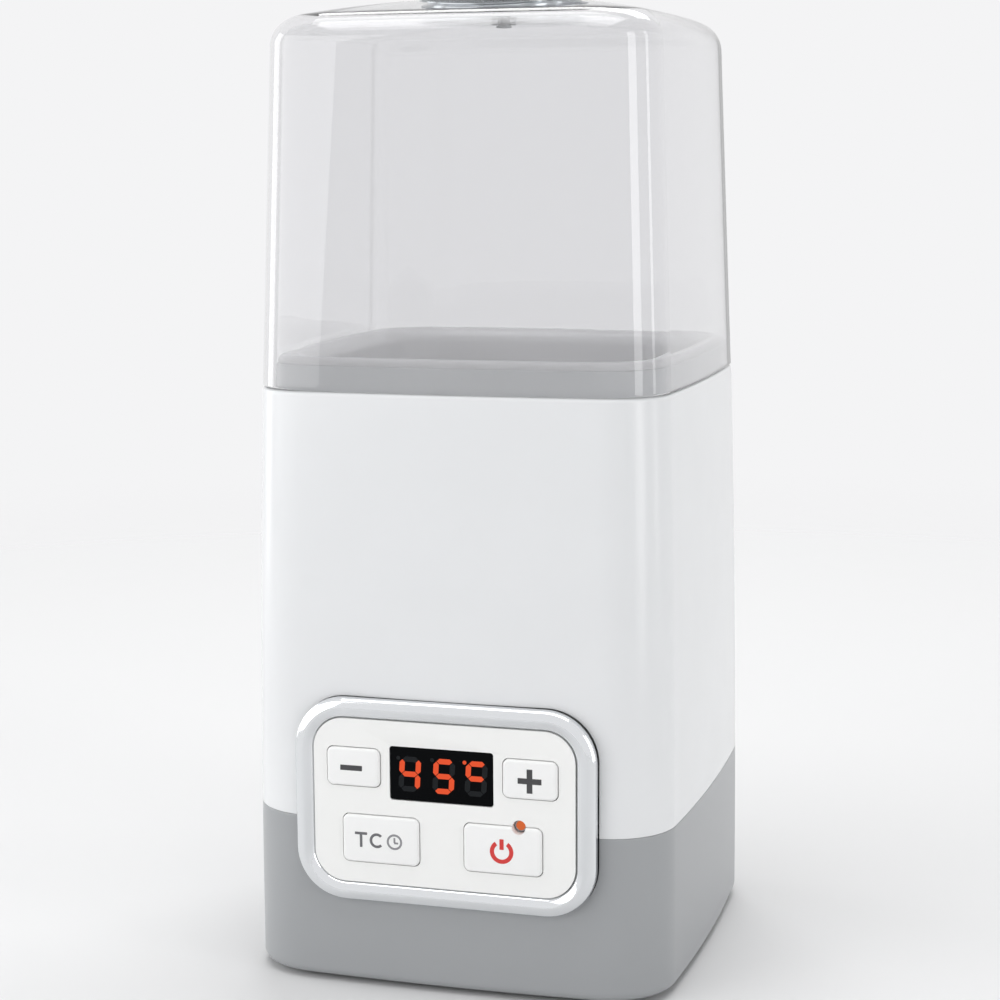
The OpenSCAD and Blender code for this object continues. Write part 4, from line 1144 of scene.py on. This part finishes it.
print("finished", len(SOLID_FINISHES), "solid pieces")

# %% [markdown]
# ## The floor
# The object stands on matt pale paper. A big plane would show its far edge as a horizon, and a curved
# sweep would have to follow every camera. This disc fades out with distance instead, so the floor runs
# into the surround with no edge, while the shadow under the object stays.

# %% Floor
FLOOR_R = 2.4
FLOOR_STEPS = 96
FADE_FROM = 0.25
FADE_TO = 1.0


def pale_floor():
    """Matt paper that fades out with distance from the middle, so it has no horizon."""
    material = new_material("pale_paper")
    place = add(material, "ShaderNodeTexCoord")
    distance = add(material, "ShaderNodeVectorMath", {"operation": "LENGTH"}, {0: place.outputs["Object"]})
    fade = add(material, "ShaderNodeMapRange", {"interpolation_type": "SMOOTHSTEP"}, {
        "Value": distance.outputs["Value"], "From Min": FADE_FROM, "From Max": FADE_TO,
        "To Min": 0.0, "To Max": 1.0})
    paper = add(material, "ShaderNodeBsdfPrincipled", inputs={
        "Base Color": linear("E4E4E4"), "Roughness": 0.9, "Specular IOR Level": 0.1})
    clear = add(material, "ShaderNodeBsdfTransparent")
    mix = add(material, "ShaderNodeMixShader", inputs={
        0: fade.outputs["Result"], 1: paper.outputs[0], 2: clear.outputs[0]})
    return set_surface(material, mix)


disc_turn = np.linspace(0, 2 * np.pi, FLOOR_STEPS, endpoint=False)
disc = FLOOR_R * np.stack([np.cos(disc_turn), np.sin(disc_turn), np.zeros(FLOOR_STEPS)], 1)
floor = make_object("floor", [(disc, [list(range(len(disc)))])])
floor.data.materials.append(pale_floor())
print("the floor fades out between %.2f and %.2f m" % (FADE_FROM, FADE_TO))

# %% [markdown]
# ## The surround
# The surround lights the object from all sides, more from the front and from behind than from above,
# below and the sides. An image of a room could do that, but it can't be tuned. Each factor eases the
# light to a share of its level towards one direction, and the factors are multiplied. The camera,
# reflections and rays through the clear cover see a plain pale surround instead, so that metal and
# glass show the same background as the rest of the view.

# %% Surround
SURROUND_LEVEL = 0.88
AHEAD = (0.28, -0.96)

world = bpy.data.worlds.new("surround")
bpy.context.scene.world = world
world.use_nodes = True
world.node_tree.nodes.clear()
surround_out = add(world, "ShaderNodeOutputWorld")
direction = add(world, "ShaderNodeTexCoord").outputs["Generated"]
height = add(world, "ShaderNodeSeparateXYZ", inputs={0: direction}).outputs["Z"]


def toward(x, y):
    """Cosine of the angle between a ray and a level direction."""
    dot = add(world, "ShaderNodeVectorMath", {"operation": "DOT_PRODUCT"}, {0: direction, 1: (x, y, 0.0)})
    return dot.outputs["Value"]


def eased(value, start, end, share):
    """Factor that eases from 1 at start to share at end."""
    ramp = add(world, "ShaderNodeMapRange", {"interpolation_type": "SMOOTHSTEP"}, {
        "Value": value, "From Min": start, "From Max": end, "To Min": 1.0, "To Max": share})
    return ramp.outputs["Result"]


# What is measured, where the easing starts and ends, and the share of the light at its end.
EASINGS = {
    "above": (height, 0.3, 0.8, 0.35),
    "below": (height, -0.25, -0.7, 0.3),
    "front": (toward(*AHEAD), -0.5, 0.2, 1.22),
    "behind": (toward(-0.28, 0.96), 0.7, 0.95, 1.25),
    "left": (toward(-0.9, 0.43), 0.3, 0.9, 0.5),
    "right": (toward(0.97, 0.26), 0.0, 0.7, 0.6),
    "straight ahead": (toward(*AHEAD), 0.88, 0.98, 0.2),
}
strength = SURROUND_LEVEL
for side, easing in EASINGS.items():
    product = add(world, "ShaderNodeMath", {"operation": "MULTIPLY"}, {0: strength, 1: eased(*easing)})
    strength = product.outputs[0]
    print("surround %-15s eases to %.2f" % (side, easing[-1]))
studio = add(world, "ShaderNodeBackground", inputs={"Color": linear("F4F5F7"), "Strength": strength})
seen = add(world, "ShaderNodeLightPath")
pale = add(world, "ShaderNodeBackground", inputs={"Color": linear("F4F4F5"), "Strength": 1.0})
shows_pale = seen.outputs["Is Camera Ray"]
for kind_of_ray in ("Is Glossy Ray", "Is Transmission Ray"):
    either = add(world, "ShaderNodeMath", {"operation": "MAXIMUM"}, {
        0: shows_pale, 1: seen.outputs[kind_of_ray]})
    shows_pale = either.outputs[0]
both = add(world, "ShaderNodeMixShader", inputs={
    0: shows_pale, 1: studio.outputs[0], 2: pale.outputs[0]})
world.node_tree.links.new(both.outputs[0], surround_out.inputs["Surface"])

# %% [markdown]
# ## The lamps
# Soft lamps add to the surround: a broad one at the front left for the shade across the housing, narrow
# ones at the sides for bright lines on the cover's corners, one overhead for the well and one behind for
# the top edge. Small lamps would give hard spots on gloss, so every lamp is a large rectangle. Only the
# overhead one is seen through the clear cover, so that no bright panes stand behind its walls.

# %% Lamps
AIM = Vector((0, 0, 0.16))


def lamp(name, azimuth, reach, height, width, tall, watts, through_cover=False):
    """A soft rectangular lamp that faces the body. Azimuth is in degrees from the front, to the right."""
    data = bpy.data.lights.new(name, "AREA")
    data.shape = "RECTANGLE"
    data.size = width
    data.size_y = tall
    data.energy = watts
    thing = bpy.data.objects.new(name, data)
    turn = np.radians(azimuth)
    thing.location = (reach * np.sin(turn), -reach * np.cos(turn), height)
    thing.rotation_euler = (Vector(thing.location) - AIM).to_track_quat("Z", "Y").to_euler()
    thing.visible_transmission = through_cover
    bpy.context.scene.collection.objects.link(thing)
    print("%-16s %5.1f W, %.2f x %.2f m" % (name, watts, width, tall))


# Azimuth, reach, height, width and height of the pane in metres, and watts.
lamp("left strip", -100, 1.5, 0.4, 0.5, 1.1, 3.2)
lamp("left lamp", -54, 1.5, 0.5, 1.6, 1.1, 8.2)
lamp("right strip", 68, 1.5, 0.4, 0.4, 1.1, 4.2)
lamp("far right strip", 100, 1.5, 0.4, 0.16, 1.1, 1.4)
lamp("overhead lamp", 0, 0.2, 1.5, 1.3, 1.1, 9, through_cover=True)
lamp("back lamp", 180, 0.9, 1.3, 1.3, 0.5, 10)

# %% [markdown]
# ## The camera
# A short telephoto at table height, a little above the body and to its right, turned slightly so that
# the panel side and one flank are seen together. The lens shift keeps the frame where it is wanted
# without turning the camera.

# %% Camera
CAMERA_REACH = 0.665448
CAMERA_AZIMUTH = 0.2863
CAMERA_Z = 0.23353
CAMERA_YAW = -0.0035
CAMERA_PITCH = -0.1533
CAMERA_ROLL = -0.0064
LENS_MM = 81.86
SENSOR_MM = 36
SHIFT = (0.00075, -0.00156)
CLIP = (0.01, 20)

camera_data = bpy.data.cameras.new("camera")
camera = bpy.data.objects.new("camera", camera_data)
bpy.context.scene.collection.objects.link(camera)
bpy.context.scene.camera = camera
stand = Vector((CAMERA_REACH * np.sin(CAMERA_AZIMUTH), -CAMERA_REACH * np.cos(CAMERA_AZIMUTH), CAMERA_Z))
heading = np.arctan2(-stand.x, -stand.y) + CAMERA_YAW
forward = Vector((np.sin(heading) * np.cos(CAMERA_PITCH), np.cos(heading) * np.cos(CAMERA_PITCH),
                  np.sin(CAMERA_PITCH)))
level = Vector((np.cos(heading), -np.sin(heading), 0))
upwards = level.cross(forward)
across = level * np.cos(CAMERA_ROLL) + upwards * np.sin(CAMERA_ROLL)
top = upwards * np.cos(CAMERA_ROLL) - level * np.sin(CAMERA_ROLL)
camera.matrix_world = Matrix((
    (across.x, top.x, -forward.x, stand.x),
    (across.y, top.y, -forward.y, stand.y),
    (across.z, top.z, -forward.z, stand.z),
    (0, 0, 0, 1)))
camera_data.lens = LENS_MM
camera_data.sensor_width = SENSOR_MM
camera_data.shift_x, camera_data.shift_y = SHIFT
camera_data.clip_start, camera_data.clip_end = CLIP
bpy.context.scene.view_settings.view_transform = "Standard"
print("the camera stands at", [round(v, 3) for v in stand], "with a lens of %.1f mm" % LENS_MM)
